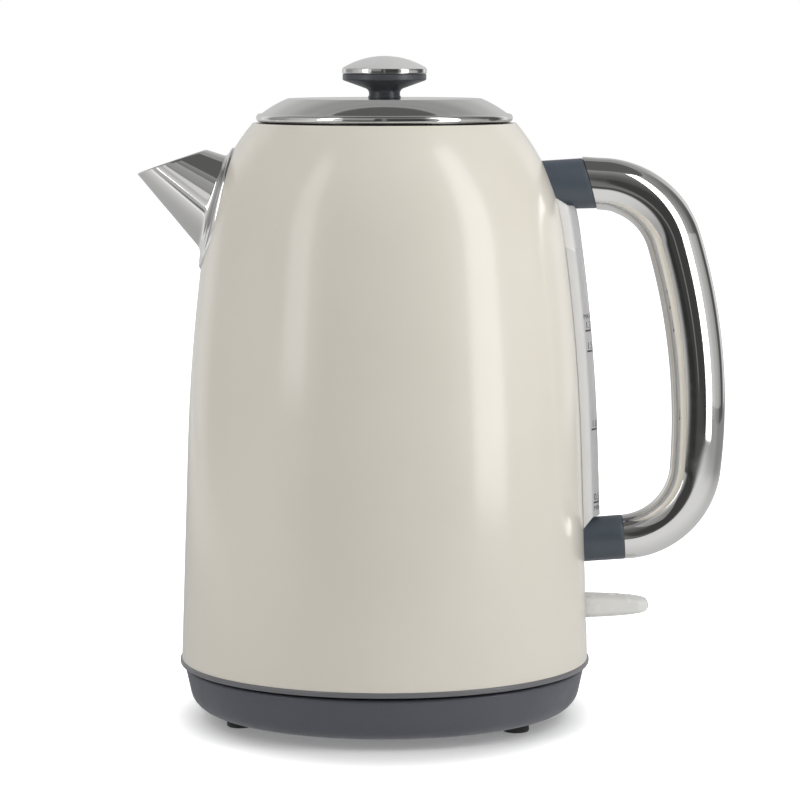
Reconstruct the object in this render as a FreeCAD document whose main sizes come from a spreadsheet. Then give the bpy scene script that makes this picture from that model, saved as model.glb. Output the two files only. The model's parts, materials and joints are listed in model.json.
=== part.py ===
import FreeCAD, Part
import math
import os
import re

import Sketcher
from FreeCAD import Placement, Rotation, Vector

# Electric kettle with a lift-off jug on a round power base.
# The jug's axis is Z, the floor is z = 0, the spout points to -X and the handle to +X.

document = FreeCAD.newDocument("electric_kettle")

# Driving sizes, in millimetres and degrees
SIZES = {
    # rubber feet
    "foot_height": 3.5,
    "foot_radius": 5.0,
    "foot_edge_gap": 0.4,
    "foot_angle": 85.0,
    "foot_peg_radius": 2.2,
    # power base
    "base_height": 16.2,
    "base_setback": 1.2,
    "base_toe_inset": 3.6,
    "base_toe_round": 8.5,
    "base_lip_width": 7.4,
    "base_wall": 2.2,
    "base_rim_width": 3.0,
    "base_rim_round": 0.9,
    "base_rim_lean": 1.0,
    "deck_drop": 3.3,
    "deck_thickness": 2.2,
    "drip_groove_radius": 40.0,
    "drip_groove_width": 2.4,
    "drip_groove_depth": 0.9,
    "plate_thickness": 2.2,
    "plate_gap": 0.2,
    "base_screw_ring": 44.0,
    "base_boss_radius": 4.2,
    "screw_radius": 1.5,
    "screw_head_radius": 3.0,
    "screw_head_height": 1.3,
    "screw_bite": 7.0,
    # cord outlet
    "grommet_width": 10.0,
    "grommet_height": 8.6,
    "grommet_length": 9.0,
    "cord_bore_radius": 3.4,
    # round connector
    "connector_radius": 18.0,
    "connector_rise": 11.0,
    "connector_flange_radius": 25.0,
    "connector_flange_thickness": 2.2,
    "connector_clearance": 0.6,
    "deck_hole_gap": 0.2,
    "live_ring_radius": 13.4,
    "neutral_ring_radius": 7.6,
    "contact_width": 1.2,
    "groove_width": 3.0,
    "groove_depth": 9.0,
    "contact_gap": 1.0,
    "earth_pin_radius": 2.2,
    "earth_pin_rise": 3.0,
    "socket_wall": 2.6,
    "socket_roof": 5.4,
    "socket_lift": 0.8,
    "swivel_gap": 0.6,
    # underside of the jug
    "jug_gap": 1.1,
    "ring_height": 2.0,
    "ring_overhang": 0.6,
    "ring_round": 0.6,
    "seat_gap": 0.4,
    "seat_rib_inset": 9.5,
    "seat_rib_width": 4.0,
    "cover_lift": 2.2,
    "cover_thickness": 2.2,
    "cover_nest_gap": 2.9,
    "cover_shelf_overlap": 1.2,
    "spigot_height": 7.0,
    "spigot_wall": 2.0,
    "spigot_gap": 0.5,
    "cover_screw_inset": 4.0,
    "cover_screw_angle": 40.0,
    "cover_boss_radius": 4.0,
    # jug body
    "seam_radius": 77.6,
    "flank_taper": 2.7,
    "waist_height": 80.7,
    "shoulder_taper": 7.3,
    "shoulder_height": 163.5,
    "neck_taper": 17.9,
    "body_height": 203.3,
    "body_wall": 0.9,
    "neck_lip_width": 5.2,
    "neck_depth": 14.0,
    "neck_sheet": 0.8,
    # heater and controls
    "heater_height": 29.0,
    "heater_sheet": 0.8,
    "heater_rim": 2.6,
    "heater_rim_wall": 1.2,
    "diffuser_gap": 4.0,
    "diffuser_thickness": 3.0,
    "element_inset": 8.0,
    "element_radius": 3.6,
    "element_sweep": 300.0,
    "terminal_radius": 1.6,
    "terminal_turn": 4.0,
    "terminal_length": 7.0,
    "control_radius": 21.0,
    "control_neck_radius": 16.0,
    "control_step": 6.0,
    "control_round": 1.5,
    "steam_tube_setback": 16.5,
    "steam_tube_radius": 3.6,
    "steam_tube_wall": 0.7,
    "steam_tube_past_shoulder": 4.0,
    "steam_tube_below": 8.0,
    "steam_seal_radius": 6.2,
    "steam_seal_height": 2.6,
    "steam_disc_radius": 6.0,
    "steam_disc_thickness": 0.5,
    "steam_disc_gap": 3.0,
    "holder_length": 14.0,
    "holder_width": 15.0,
    "holder_round": 2.0,
    # switch lever
    "switch_height": 19.2,
    "pivot_inset": 6.5,
    "pivot_pin_radius": 1.0,
    "pivot_play": 0.05,
    "lever_reach": 24.1,
    "lever_back": 3.4,
    "lever_root_height": 9.0,
    "lever_root_round": 2.0,
    "lever_nose_length": 10.4,
    "lever_nose_height": 7.9,
    "lever_nose_round": 40.0,
    "lever_tip_height": 4.0,
    "lever_tip_lift": 0.3,
    "lever_tip_round": 1.9,
    "lever_width": 15.0,
    "lever_tip_width": 13.0,
    "lever_corner_round": 5.0,
    "lever_gap": 0.6,
    "cheek_thickness": 2.0,
    "cheek_front": 2.0,
    "cheek_back": 7.0,
    "cheek_top": 4.0,
    "cheek_web": 2.0,
    "window_above": 6.6,
    "window_below": 11.5,
    "window_side_gap": 1.0,
    "apron_gap": 0.3,
    "apron_drop": 6.5,
    "apron_bar_reach": 4.0,
    # spout
    "spout_apex_out": 45.7,
    "spout_apex_up": 4.7,
    "spout_dip": 34.0,
    "spout_half_angle": 16.2,
    "spout_tip_length": 31.24,
    "spout_mouth_rise": 19.0,
    "spout_wall": 1.0,
    "spout_root_length": 85.0,
    "spout_flange_half_angle": 20.0,
    "spout_flange_thickness": 1.0,
    "strainer_radius": 21.0,
    "strainer_drop": 3.5,
    "strainer_sheet": 0.6,
    "strainer_hole_radius": 1.3,
    "strainer_pitch": 4.6,
    # handle
    "handle_top_stand": 9.9,
    "handle_top_drop": 22.7,
    "handle_top_tilt": 4.5,
    "handle_top_bend": 30.0,
    "handle_reach": 44.5,
    "handle_bow_height": 92.8,
    "handle_bow_radius": 229.5,
    "handle_low_bend": 29.0,
    "handle_low_tilt": 4.0,
    "handle_low_stand": 15.1,
    "handle_low_height": 45.6,
    "handle_top_diameter": 19.2,
    "handle_mid_diameter": 20.9,
    "handle_low_diameter": 17.0,
    "handle_wall": 1.2,
    "handle_tail": 8.0,
    "mitre_tilt": 15.7,
    "bracket_top_root_radius": 8.8,
    "bracket_top_tilt": 2.4,
    "bracket_low_root_radius": 8.3,
    "bracket_depth": 34.0,
    "bracket_spigot_length": 9.0,
    "bracket_low_spigot_length": 3.0,
    "bracket_spigot_gap": 0.2,
    "handle_screw_radius": 2.0,
    "handle_screw_head_radius": 4.0,
    "handle_screw_head_height": 2.2,
    "handle_screw_bite": 9.0,
    # water gauge
    "gauge_proud": 6.4,
    "gauge_width": 17.0,
    "gauge_wall": 1.4,
    "gauge_face_round": 2.0,
    "gauge_low_gap": 3.4,
    "gauge_top_gap": 6.4,
    "gauge_low_slant": 36.0,
    "gauge_top_slant": 25.0,
    "gauge_end_wall": 3.0,
    "gauge_port_radius": 3.0,
    "gauge_port_bore": 2.0,
    "gauge_port_inset": 8.0,
    "gauge_port_depth": 3.0,
    "gauge_seal_radius": 5.2,
    "gauge_seal_thickness": 1.5,
    # lid
    "lid_gap": 0.4,
    "lid_setback": 1.3,
    "lid_rim_height": 3.1,
    "lid_rim_width": 3.2,
    "lid_rim_round": 1.4,
    "lid_ledge_width": 2.0,
    "lid_slope_width": 9.9,
    "lid_slope_bow": 43.0,
    "lid_crown_round": 1.6,
    "lid_height": 8.8,
    "lid_sheet": 0.9,
    "plug_play": 0.6,
    "plug_wall": 2.0,
    "plug_depth": 11.0,
    "plug_flange_thickness": 1.8,
    "plug_post_radius": 6.0,
    "vent_radius": 2.4,
    "vent_ring_radius": 24.0,
    "seal_height": 3.0,
    "seal_depth": 1.2,
    "seal_proud": 0.3,
    "seal_below": 4.0,
    # lid knob
    "knob_collar_radius": 6.15,
    "knob_collar_height": 1.0,
    "knob_stem_radius": 5.85,
    "knob_stem_height": 3.3,
    "knob_stem_round": 2.0,
    "knob_flare_radius": 15.4,
    "knob_flare_height": 6.75,
    "knob_radius": 15.8,
    "knob_edge_height": 7.05,
    "knob_height": 9.2,
    "knob_screw_radius": 1.7,
    "knob_screw_length": 16.0,
    "knob_screw_head_radius": 3.4,
    "knob_screw_head_height": 2.0,
    "cap_radius": 16.0,
    "cap_edge_height": 2.1,
    "cap_dome_height": 4.6,
    "cap_sheet": 1.2,
    # reach of the helper solids that only cut
    "cutter_reach": 60.0,
}

# Heights and places that follow from the driving sizes
PLACES = {
    "waist_radius": "seam_radius - flank_taper",
    "shoulder_radius": "waist_radius - shoulder_taper",
    "neck_radius": "shoulder_radius - neck_taper",
    "flank_slope": "flank_taper / waist_height",
    "ring_radius": "seam_radius + ring_overhang",
    "base_radius": "seam_radius - base_setback",
    "base_toe_radius": "base_radius - base_toe_inset",
    "base_opening_radius": "base_toe_radius - base_lip_width",
    "foot_ring_radius": "base_opening_radius - foot_radius - foot_edge_gap",
    "deck_edge_radius": "base_radius - base_rim_width - base_rim_lean",
    "cover_flat_radius": "deck_edge_radius - cover_nest_gap",
    "cover_shelf_radius": "base_radius - base_rim_width + cover_shelf_overlap",
    "seat_rib_radius": "cover_flat_radius - seat_rib_inset",
    "cover_screw_ring": "seat_rib_radius - cover_screw_inset",
    "diffuser_radius": "cover_screw_ring - cover_boss_radius - diffuser_gap",
    "element_ring_radius": "diffuser_radius - element_inset",
    "neck_bore_radius": "neck_radius - neck_lip_width",
    "lid_radius": "neck_radius - lid_setback",
    "lid_shoulder_radius": "lid_radius - lid_ledge_width",
    "lid_crown_radius": "lid_shoulder_radius - lid_slope_width",
    "plate_top": "foot_height + plate_thickness",
    "rim_z": "foot_height + base_height",
    "deck_z": "rim_z - deck_drop",
    "deck_under_z": "deck_z - deck_thickness",
    "base_inner_radius": "base_toe_radius - base_wall"
                         " + (base_radius - base_toe_radius) * (deck_under_z - foot_height) / base_height",
    "connector_floor_z": "deck_under_z - connector_flange_thickness",
    "nose_z": "deck_z + connector_rise",
    "groove_z": "nose_z - groove_depth",
    "deck_hole_radius": "connector_radius + deck_hole_gap",
    "socket_bore_radius": "connector_radius + connector_clearance",
    "socket_radius": "socket_bore_radius + socket_wall",
    "socket_mouth_z": "deck_z + socket_lift",
    "socket_ceiling_z": "nose_z + connector_clearance",
    "socket_top_z": "socket_ceiling_z + socket_roof",
    "seat_z": "deck_z + seat_gap",
    "cover_z": "deck_z + cover_lift",
    "cover_floor_z": "cover_z + cover_thickness",
    "cover_hole_radius": "socket_radius + swivel_gap",
    "ring_z": "rim_z + jug_gap",
    "seam_z": "ring_z + ring_height",
    "waist_z": "seam_z + waist_height",
    "shoulder_z": "seam_z + shoulder_height",
    "neck_z": "seam_z + body_height",
    "spigot_top_z": "seam_z + spigot_height",
    "spigot_radius": "seam_radius - flank_slope * spigot_height - body_wall - spigot_gap",
    "heater_z": "seam_z + heater_height",
    "heater_under_z": "heater_z - heater_sheet",
    "heater_rim_radius": "seam_radius - flank_slope * heater_height - body_wall - heater_rim_wall",
    "diffuser_z": "heater_under_z - diffuser_thickness",
    "element_z": "diffuser_z - element_radius",
    "control_z": "socket_top_z + swivel_gap",
    "steam_foot_z": "heater_z - steam_tube_below",
    "steam_top_z": "shoulder_z + steam_tube_past_shoulder",
    "steam_disc_z": "steam_foot_z - steam_disc_gap",
    "pivot_z": "seam_z + switch_height",
    "pivot_flank": "seam_radius - flank_slope * switch_height",
    "pivot_x": "pivot_flank - pivot_inset",
    "steam_tube_offset": "pivot_x - steam_tube_setback",
    "lever_tip_x": "pivot_flank + lever_reach",
    "lever_tip_z": "pivot_z + lever_tip_lift",
    "cheek_inside": "lever_width / 2 + lever_gap",
    "apex_x": "-(shoulder_radius + spout_apex_out)",
    "apex_z": "neck_z + spout_apex_up",
    "tip_x": "apex_x + spout_tip_length * cos(spout_dip + spout_half_angle)",
    "tip_z": "apex_z - spout_tip_length * sin(spout_dip + spout_half_angle)",
    "spout_bore_shift": "spout_wall / sin(spout_half_angle)",
    "strainer_z": "apex_z - spout_apex_out * tan(spout_dip) - strainer_drop",
    "top_joint_x": "shoulder_radius + handle_top_stand",
    "top_joint_z": "neck_z - handle_top_drop",
    "low_joint_x": "seam_radius - flank_slope * handle_low_height + handle_low_stand",
    "low_joint_z": "seam_z + handle_low_height",
    "bow_x": "waist_radius + handle_reach",
    "bow_z": "seam_z + handle_bow_height",
    "gauge_low_z": "low_joint_z + gauge_low_gap",
    "gauge_top_z": "top_joint_z - gauge_top_gap",
    "lid_z": "neck_z + lid_gap",
    "crown_z": "lid_z + lid_height",
    "plug_radius": "neck_bore_radius - plug_play",
    "plug_z": "lid_z - plug_depth",
    "knob_flange_z": "crown_z + knob_height",
    "cap_edge_z": "knob_flange_z + cap_edge_height",
    "cap_top_z": "cap_edge_z + cap_dome_height",
    "cap_dome_radius": "(cap_radius^2 + cap_dome_height^2) / (2 * cap_dome_height)",
}


def fill_sheet(name, rows):
    """Make a sheet with one named cell per row."""
    sheet = document.addObject("Spreadsheet::Sheet", name)
    for row, (alias, content) in enumerate(rows.items(), start=1):
        sheet.set(f"A{row}", alias)
        sheet.set(f"B{row}", content)
        sheet.setAlias(f"B{row}", alias)
    return sheet


def with_sheet_names(text, owners):
    """Put the owning sheet's name before each alias in a formula."""
    return re.sub(r"[a-z]\w*", lambda word: owners.get(word.group(), "") + word.group(), str(text))


size_owners = {alias: "Sizes." for alias in SIZES}
fill_sheet("Sizes", {alias: str(size) for alias, size in SIZES.items()})
places_sheet = fill_sheet(
    "Places",
    {alias: "=" + with_sheet_names(formula, size_owners) for alias, formula in PLACES.items()},
)
document.recompute()
all_owners = {**size_owners, **{alias: "Places." for alias in PLACES}}


def measure(text):
    """The value of a formula in the sheets' aliases."""
    return float(places_sheet.evalExpression(with_sheet_names(text, all_owners)))


def tie(target, path, text):
    """Bind a property to a formula in the sheets' aliases."""
    target.setExpression(path, with_sheet_names(text, all_owners))


# Sketches


def new_body(label):
    body = document.addObject("PartDesign::Body", label)
    body.Label = label
    return body


def new_sketch(body, role, name, lift="0"):
    """A sketch on one of the body's origin planes, lifted along that plane's normal."""
    sketch = body.newObject("Sketcher::SketchObject", f"{body.Name}_{name}")
    plane = next(feature for feature in body.Origin.OriginFeatures if feature.Role == role)
    sketch.AttachmentSupport = [(plane, "")]
    sketch.MapMode = "FlatFace"
    tie(sketch, "AttachmentOffset.Base.z", lift)
    return sketch


def constrain(sketch, kind, *targets, size=None):
    """Add a constraint, bound to a formula where it has a size."""
    if size is None:
        sketch.addConstraint(Sketcher.Constraint(kind, *targets))
        return
    index = sketch.addConstraint(Sketcher.Constraint(kind, *targets, measure(size)))
    tie(sketch, f"Constraints[{index}]", size)


def pin(sketch, geometry, end, across, up):
    """Fix a point at two formulas, measured from the sketch's origin."""
    for kind, axis, size in (("DistanceX", -2, across), ("DistanceY", -1, up)):
        distance = measure(size)
        if abs(distance) < 1e-9:
            constrain(sketch, "PointOnObject", geometry, end, axis)
        elif distance > 0:
            constrain(sketch, kind, -1, 1, geometry, end, size=size)
        else:
            constrain(sketch, kind, geometry, end, -1, 1, size=f"-({size})")


def point_at(across, up):
    return Vector(measure(across), measure(up), 0)


def left_of(direction):
    return Vector(-direction.y, direction.x, 0)


def add_line(sketch, start, end):
    """Add a line and return its number and the ends that come first and last."""
    return sketch.addGeometry(Part.LineSegment(start, end), False), 1, 2


def add_arc(sketch, start, end, centre, turns_left):
    """Add an arc and return its number and the ends that come first and last."""
    radius = (start - centre).Length
    first, last = (start, end) if turns_left else (end, start)
    angle_first = math.atan2(first.y - centre.y, first.x - centre.x)
    angle_last = math.atan2(last.y - centre.y, last.x - centre.x)
    if angle_last <= angle_first:
        angle_last += 2 * math.pi
    circle = Part.Circle(centre, Vector(0, 0, 1), radius)
    geometry = sketch.addGeometry(Part.ArcOfCircle(circle, angle_first, angle_last), False)
    return (geometry, 1, 2) if turns_left else (geometry, 2, 1)


def tangent_arc_centre(start, direction, end):
    """Centre of the arc that leaves start along direction and arrives at end, and its turn."""
    span = end - start
    side = left_of(direction)
    radius = span.dot(span) / (2 * span.dot(side))
    return start + side * radius, radius > 0


def join(sketch, before, after, smooth=False):
    """Join the end of one edge to the start of the next."""
    kind = "Tangent" if smooth else "Coincident"
    constrain(sketch, kind, before[0], before[2], after[0], after[1])


def draw_outline(sketch, corners):
    """Draw a closed outline through corners.

    Each corner is (across, up), or (across, up, radius) where it is rounded, or
    (across, up, None, radius) where the side that leaves it is an arc turning left.
    """
    places = [point_at(corner[0], corner[1]) for corner in corners]
    count = len(corners)
    rounds = [measure(corner[2]) if len(corner) > 2 and corner[2] else 0 for corner in corners]
    bows = [corner[3] if len(corner) > 3 else None for corner in corners]
    leaves, arrives = list(places), list(places)
    for index, radius in enumerate(rounds):
        if radius:
            back = (places[index - 1] - places[index]).normalize()
            onward = (places[(index + 1) % count] - places[index]).normalize()
            trim = radius / math.tan(back.getAngle(onward) / 2)
            arrives[index] = places[index] + back * trim
            leaves[index] = places[index] + onward * trim
    sides = []
    for index in range(count):
        start, end = leaves[index], arrives[(index + 1) % count]
        if bows[index]:
            chord = end - start
            radius = measure(bows[index])
            drop = math.sqrt(radius ** 2 - chord.Length ** 2 / 4)
            centre = (start + end) / 2 + left_of(chord).normalize() * drop
            side = add_arc(sketch, start, end, centre, True)
            constrain(sketch, "Radius", side[0], size=bows[index])
        else:
            side = add_line(sketch, start, end)
        sides.append(side)
    for index, corner in enumerate(corners):
        before, after = sides[index - 1], sides[index]
        if rounds[index]:
            round_corner(sketch, corner, rounds[index], arrives[index], leaves[index], before, after)
        else:
            join(sketch, before, after)
            pin(sketch, after[0], after[1], corner[0], corner[1])


def round_corner(sketch, corner, radius, start, end, before, after):
    """Round a corner that stays fixed where the two sides would meet."""
    place = point_at(corner[0], corner[1])
    middle = ((start + end) / 2 - place).normalize()
    reach = math.sqrt((start - place).Length ** 2 + radius ** 2)
    turns_left = (place - start).cross(end - place).z > 0
    arc = add_arc(sketch, start, end, place + middle * reach, turns_left)
    join(sketch, before, arc, smooth=True)
    join(sketch, arc, after, smooth=True)
    constrain(sketch, "Radius", arc[0], size=corner[2])
    mark = sketch.addGeometry(Part.Point(place), True)
    pin(sketch, mark, 1, corner[0], corner[1])
    constrain(sketch, "PointOnObject", mark, 1, before[0])
    constrain(sketch, "PointOnObject", mark, 1, after[0])


def draw_circle(sketch, across, up, radius):
    centre = point_at(across, up)
    circle = sketch.addGeometry(Part.Circle(centre, Vector(0, 0, 1), measure(radius)), False)
    constrain(sketch, "Radius", circle, size=radius)
    if measure(across) == 0 and measure(up) == 0:
        constrain(sketch, "Coincident", circle, 3, -1, 1)
    else:
        pin(sketch, circle, 3, across, up)


# Features


def revolve(body, sketch):
    feature = body.newObject("PartDesign::Revolution", f"{body.Name}_turn")
    feature.Profile = sketch
    feature.ReferenceAxis = (sketch, ["V_Axis"])
    feature.Angle = 360
    return feature


def turned(label, *outlines):
    """A piece of revolution about the jug's axis, from outlines in radius and height."""
    body = new_body(label)
    sketch = new_sketch(body, "XZ_Plane", "section")
    for corners in outlines:
        draw_outline(sketch, corners)
    revolve(body, sketch)
    return body


def pad(body, sketch, length, name, symmetric=False):
    feature = body.newObject("PartDesign::Pad", f"{body.Name}_{name}")
    feature.Profile = sketch
    feature.SideType = "Symmetric" if symmetric else "One side"
    tie(feature, "Length", length)
    return feature


def pocket(body, sketch, length, name, symmetric=False, reverse=False):
    feature = body.newObject("PartDesign::Pocket", f"{body.Name}_{name}")
    feature.Profile = sketch
    feature.SideType = "Symmetric" if symmetric else "One side"
    feature.Reversed = reverse
    tie(feature, "Length", length)
    return feature


def around_axis(body, features, count, name):
    """Repeat features evenly around the jug's axis."""
    axis = next(feature for feature in body.Origin.OriginFeatures if feature.Role == "Z_Axis")
    pattern = body.newObject("PartDesign::PolarPattern", f"{body.Name}_{name}")
    pattern.Originals = features
    pattern.Axis = (axis, [""])
    pattern.Angle = 360
    pattern.Occurrences = count
    body.Tip = pattern
    return pattern


def side_pad(label, corners, width):
    """A plate with a side outline in X and Z, centred on the plane of the handle."""
    body = new_body(label)
    sketch = new_sketch(body, "XZ_Plane", "side")
    draw_outline(sketch, corners)
    pad(body, sketch, width, "plate", symmetric=True)
    return body


def put(piece, across, deep, up, axis=None, angle=None):
    """Place a primitive at formulas, turned about an axis."""
    if axis:
        piece.Placement = Placement(Vector(), Rotation(axis, measure(angle)))
        tie(piece, "Placement.Rotation.Angle", angle)
    for direction, text in (("x", across), ("y", deep), ("z", up)):
        tie(piece, f"Placement.Base.{direction}", text)
    return piece


ALONG_Y = Vector(0, 1, 0)
ACROSS_X = Vector(1, 0, 0)


def cylinder(label, radius, height):
    piece = document.addObject("Part::Cylinder", label)
    tie(piece, "Radius", radius)
    tie(piece, "Height", height)
    return piece


def cone(label, radius_from, radius_to, height):
    piece = document.addObject("Part::Cone", label)
    tie(piece, "Radius1", radius_from)
    tie(piece, "Radius2", radius_to)
    tie(piece, "Height", height)
    return piece


def rod_along_x(label, radius, start, length, deep, up):
    """A rod that runs towards +X from a starting place."""
    return put(cylinder(label, radius, length), start, deep, up, ALONG_Y, "90")


def boolean(kind, label, base, tool):
    result = document.addObject(f"Part::{kind}", label)
    result.Base = base
    result.Tool = tool
    result.Label = label
    return result


def gathered(label, pieces, kind="MultiFuse"):
    """Join pieces into one, or group them where they stay apart."""
    result = document.addObject(f"Part::{kind}", label)
    if kind == "MultiFuse":
        result.Shapes = pieces
    else:
        result.Links = pieces
    result.Label = label
    return result


# The jug's outer form, which the shell and all that sits against it share


def outline_solid(label, offset):
    """The jug's outer form, moved out by an offset: a straight flank and two tangent arcs."""
    body = new_body(label)
    sketch = new_sketch(body, "XZ_Plane", "section")
    stations = [
        (f"{radius}_radius + ({offset})", f"{radius}_z") for radius in ("seam", "waist", "shoulder", "neck")
    ]
    seam, waist, shoulder, neck = [point_at(*station) for station in stations]
    flank = add_line(sketch, seam, waist)
    upright = (waist - seam).normalize()
    centre, turns_left = tangent_arc_centre(waist, upright, shoulder)
    side = add_arc(sketch, waist, shoulder, centre, turns_left)
    lean = left_of(shoulder - centre).normalize() * (1 if turns_left else -1)
    centre, turns_left = tangent_arc_centre(shoulder, lean, neck)
    crown = add_arc(sketch, shoulder, neck, centre, turns_left)
    top = add_line(sketch, neck, Vector(0, neck.y, 0))
    spine = add_line(sketch, Vector(0, neck.y, 0), Vector(0, seam.y, 0))
    bottom = add_line(sketch, Vector(0, seam.y, 0), seam)
    join(sketch, flank, side, smooth=True)
    join(sketch, side, crown, smooth=True)
    for before, after in ((crown, top), (top, spine), (spine, bottom), (bottom, flank)):
        join(sketch, before, after)
    for edge, station in zip((flank, side, crown, top), stations):
        pin(sketch, edge[0], edge[1], *station)
    pin(sketch, spine[0], spine[1], "0", "neck_z")
    pin(sketch, bottom[0], bottom[1], "0", "seam_z")
    revolve(body, sketch)
    return body


def skin(label, outer, inner):
    """The layer between two forms of the jug."""
    return boolean("Cut", label, outer, inner)


jug_form = outline_solid("jug_form", "0")
jug_inside = outline_solid("jug_inside", "-body_wall")


# Power base


def base_upper_shell():
    body = new_body("base_upper_shell")
    section = new_sketch(body, "XZ_Plane", "section")
    groove_from = "drip_groove_radius - drip_groove_width / 2"
    groove_to = "drip_groove_radius + drip_groove_width / 2"
    groove_z = "deck_z - drip_groove_depth"
    draw_outline(section, [
        ("base_opening_radius", "foot_height"),
        ("base_toe_radius", "foot_height", "base_toe_round"),
        ("base_radius", "rim_z", "base_rim_round"),
        ("base_radius - base_rim_width", "rim_z", "base_rim_round"),
        ("deck_edge_radius", "deck_z"),
        (groove_to, "deck_z"),
        (groove_to, groove_z),
        (groove_from, groove_z),
        (groove_from, "deck_z"),
        ("deck_hole_radius", "deck_z"),
        ("deck_hole_radius", "deck_under_z"),
        ("base_inner_radius", "deck_under_z"),
        ("base_toe_radius - base_wall", "foot_height + base_wall", "base_toe_round / 2"),
        ("base_opening_radius", "foot_height + base_wall"),
    ])
    revolve(body, section)
    boss = new_sketch(body, "XY_Plane", "boss", "plate_top")
    draw_circle(boss, "base_screw_ring", "0", "base_boss_radius")
    draw_circle(boss, "base_screw_ring", "0", "screw_radius")
    post = pad(body, boss, "deck_under_z - plate_top", "post")
    around_axis(body, [post], 3, "posts")
    notch = new_sketch(body, "XZ_Plane", "notch")
    draw_outline(notch, grommet_outline("0"))
    body.Tip = pocket(body, notch, "base_radius", "notch_cut")
    return body


def grommet_outline(gap):
    """The cord outlet's outline: flat below and round above, smaller by a gap."""
    half = f"grommet_width / 2 - {gap}"
    top = f"foot_height + grommet_height - {gap}"
    return [
        (f"-({half})", "foot_height"),
        (half, "foot_height"),
        (half, top, "grommet_width / 4"),
        (f"-({half})", top, "grommet_width / 4"),
    ]


def cord_grommet():
    body = new_body("cord_grommet")
    face = new_sketch(body, "XZ_Plane", "face", "-base_toe_radius - base_wall / 2")
    draw_outline(face, grommet_outline("plate_gap"))
    draw_circle(face, "0", "foot_height + grommet_height / 2", "cord_bore_radius")
    pad(body, face, "grommet_length", "bush")
    return body


def base_bottom_plate():
    body = new_body("base_bottom_plate")
    disc = new_sketch(body, "XY_Plane", "disc", "foot_height")
    draw_circle(disc, "0", "0", "base_opening_radius - plate_gap")
    pad(body, disc, "plate_thickness", "sheet")
    cord_slot = new_sketch(body, "XY_Plane", "cord_slot", "foot_height")
    draw_outline(cord_slot, [
        ("-grommet_width / 2", "base_toe_radius + base_wall / 2 - grommet_length - plate_gap"),
        ("grommet_width / 2", "base_toe_radius + base_wall / 2 - grommet_length - plate_gap"),
        ("grommet_width / 2", "base_radius"),
        ("-grommet_width / 2", "base_radius"),
    ])
    body.Tip = pocket(body, cord_slot, "plate_thickness", "cord_cut", reverse=True)
    openings = (
        ("foot_ring_radius", "foot_angle", "foot_peg_radius", "plate_thickness", "peg"),
        ("base_screw_ring", "0", "screw_radius", "plate_thickness", "screw"),
        ("base_screw_ring", "0", "screw_head_radius", "screw_head_height", "head"),
    )
    for ring, angle, radius, depth, name in openings:
        hole = new_sketch(body, "XY_Plane", name, "foot_height")
        draw_circle(hole, f"{ring} * cos({angle})", f"{ring} * sin({angle})", radius)
        cut = pocket(body, hole, depth, f"{name}_cut", reverse=True)
        around_axis(body, [cut], 3, f"{name}_cuts")
    return body


def rubber_feet():
    body = new_body("rubber_feet")
    across = "foot_ring_radius * cos(foot_angle)"
    deep = "foot_ring_radius * sin(foot_angle)"
    sole = new_sketch(body, "XY_Plane", "sole")
    draw_circle(sole, across, deep, "foot_radius")
    disc = pad(body, sole, "foot_height", "disc")
    stem = new_sketch(body, "XY_Plane", "stem", "foot_height")
    draw_circle(stem, across, deep, "foot_peg_radius")
    peg = pad(body, stem, "plate_thickness", "peg")
    around_axis(body, [disc, peg], 3, "feet")
    return body


def screw_group(label, ring, angle, head_z, length):
    """Three screws around the axis, put in from below."""
    body = new_body(label)
    across = f"{ring} * cos({angle})"
    deep = f"{ring} * sin({angle})"
    head = new_sketch(body, "XY_Plane", "head", head_z)
    draw_circle(head, across, deep, "screw_head_radius")
    disc = pad(body, head, "screw_head_height", "disc")
    shank = new_sketch(body, "XY_Plane", "shank", f"{head_z} + screw_head_height")
    draw_circle(shank, across, deep, "screw_radius")
    rod = pad(body, shank, length, "rod")
    around_axis(body, [disc, rod], 3, "screws")
    return body


def lower_connector():
    grooves = []
    for ring in ("live_ring_radius", "neutral_ring_radius"):
        outer = f"{ring} + groove_width / 2"
        inner = f"{ring} - groove_width / 2"
        grooves += [(outer, "nose_z"), (outer, "groove_z"), (inner, "groove_z"), (inner, "nose_z")]
    return turned("lower_connector", [
        ("earth_pin_radius", "connector_floor_z"),
        ("connector_flange_radius", "connector_floor_z"),
        ("connector_flange_radius", "deck_under_z"),
        ("connector_radius", "deck_under_z"),
        ("connector_radius", "nose_z", "groove_width / 3"),
        *grooves,
        ("earth_pin_radius", "nose_z"),
    ])


def earth_pin():
    return turned("earth_pin", [
        ("0", "connector_floor_z"),
        ("earth_pin_radius", "connector_floor_z"),
        ("earth_pin_radius", "nose_z + earth_pin_rise", "earth_pin_radius / 2"),
        ("0", "nose_z + earth_pin_rise"),
    ])


# Contact socket, which lifts with the jug and lets it turn


def upper_connector():
    pin_bore = "earth_pin_radius + connector_clearance"
    pin_roof = "socket_ceiling_z + earth_pin_rise + connector_clearance"
    return turned("upper_connector", [
        ("socket_bore_radius", "socket_mouth_z"),
        ("socket_radius", "socket_mouth_z"),
        ("socket_radius", "socket_top_z", "socket_wall / 2"),
        ("0", "socket_top_z"),
        ("0", pin_roof),
        (pin_bore, pin_roof),
        (pin_bore, "socket_ceiling_z"),
        ("socket_bore_radius", "socket_ceiling_z"),
    ])


def contact_rings():
    rings = []
    for ring in ("live_ring_radius", "neutral_ring_radius"):
        outer = f"{ring} + contact_width / 2"
        inner = f"{ring} - contact_width / 2"
        foot = "groove_z + contact_gap"
        rings.append([(inner, foot), (outer, foot), (outer, "socket_ceiling_z"), (inner, "socket_ceiling_z")])
    return turned("contact_rings", *rings)


# Jug body, from the bottom up


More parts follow.
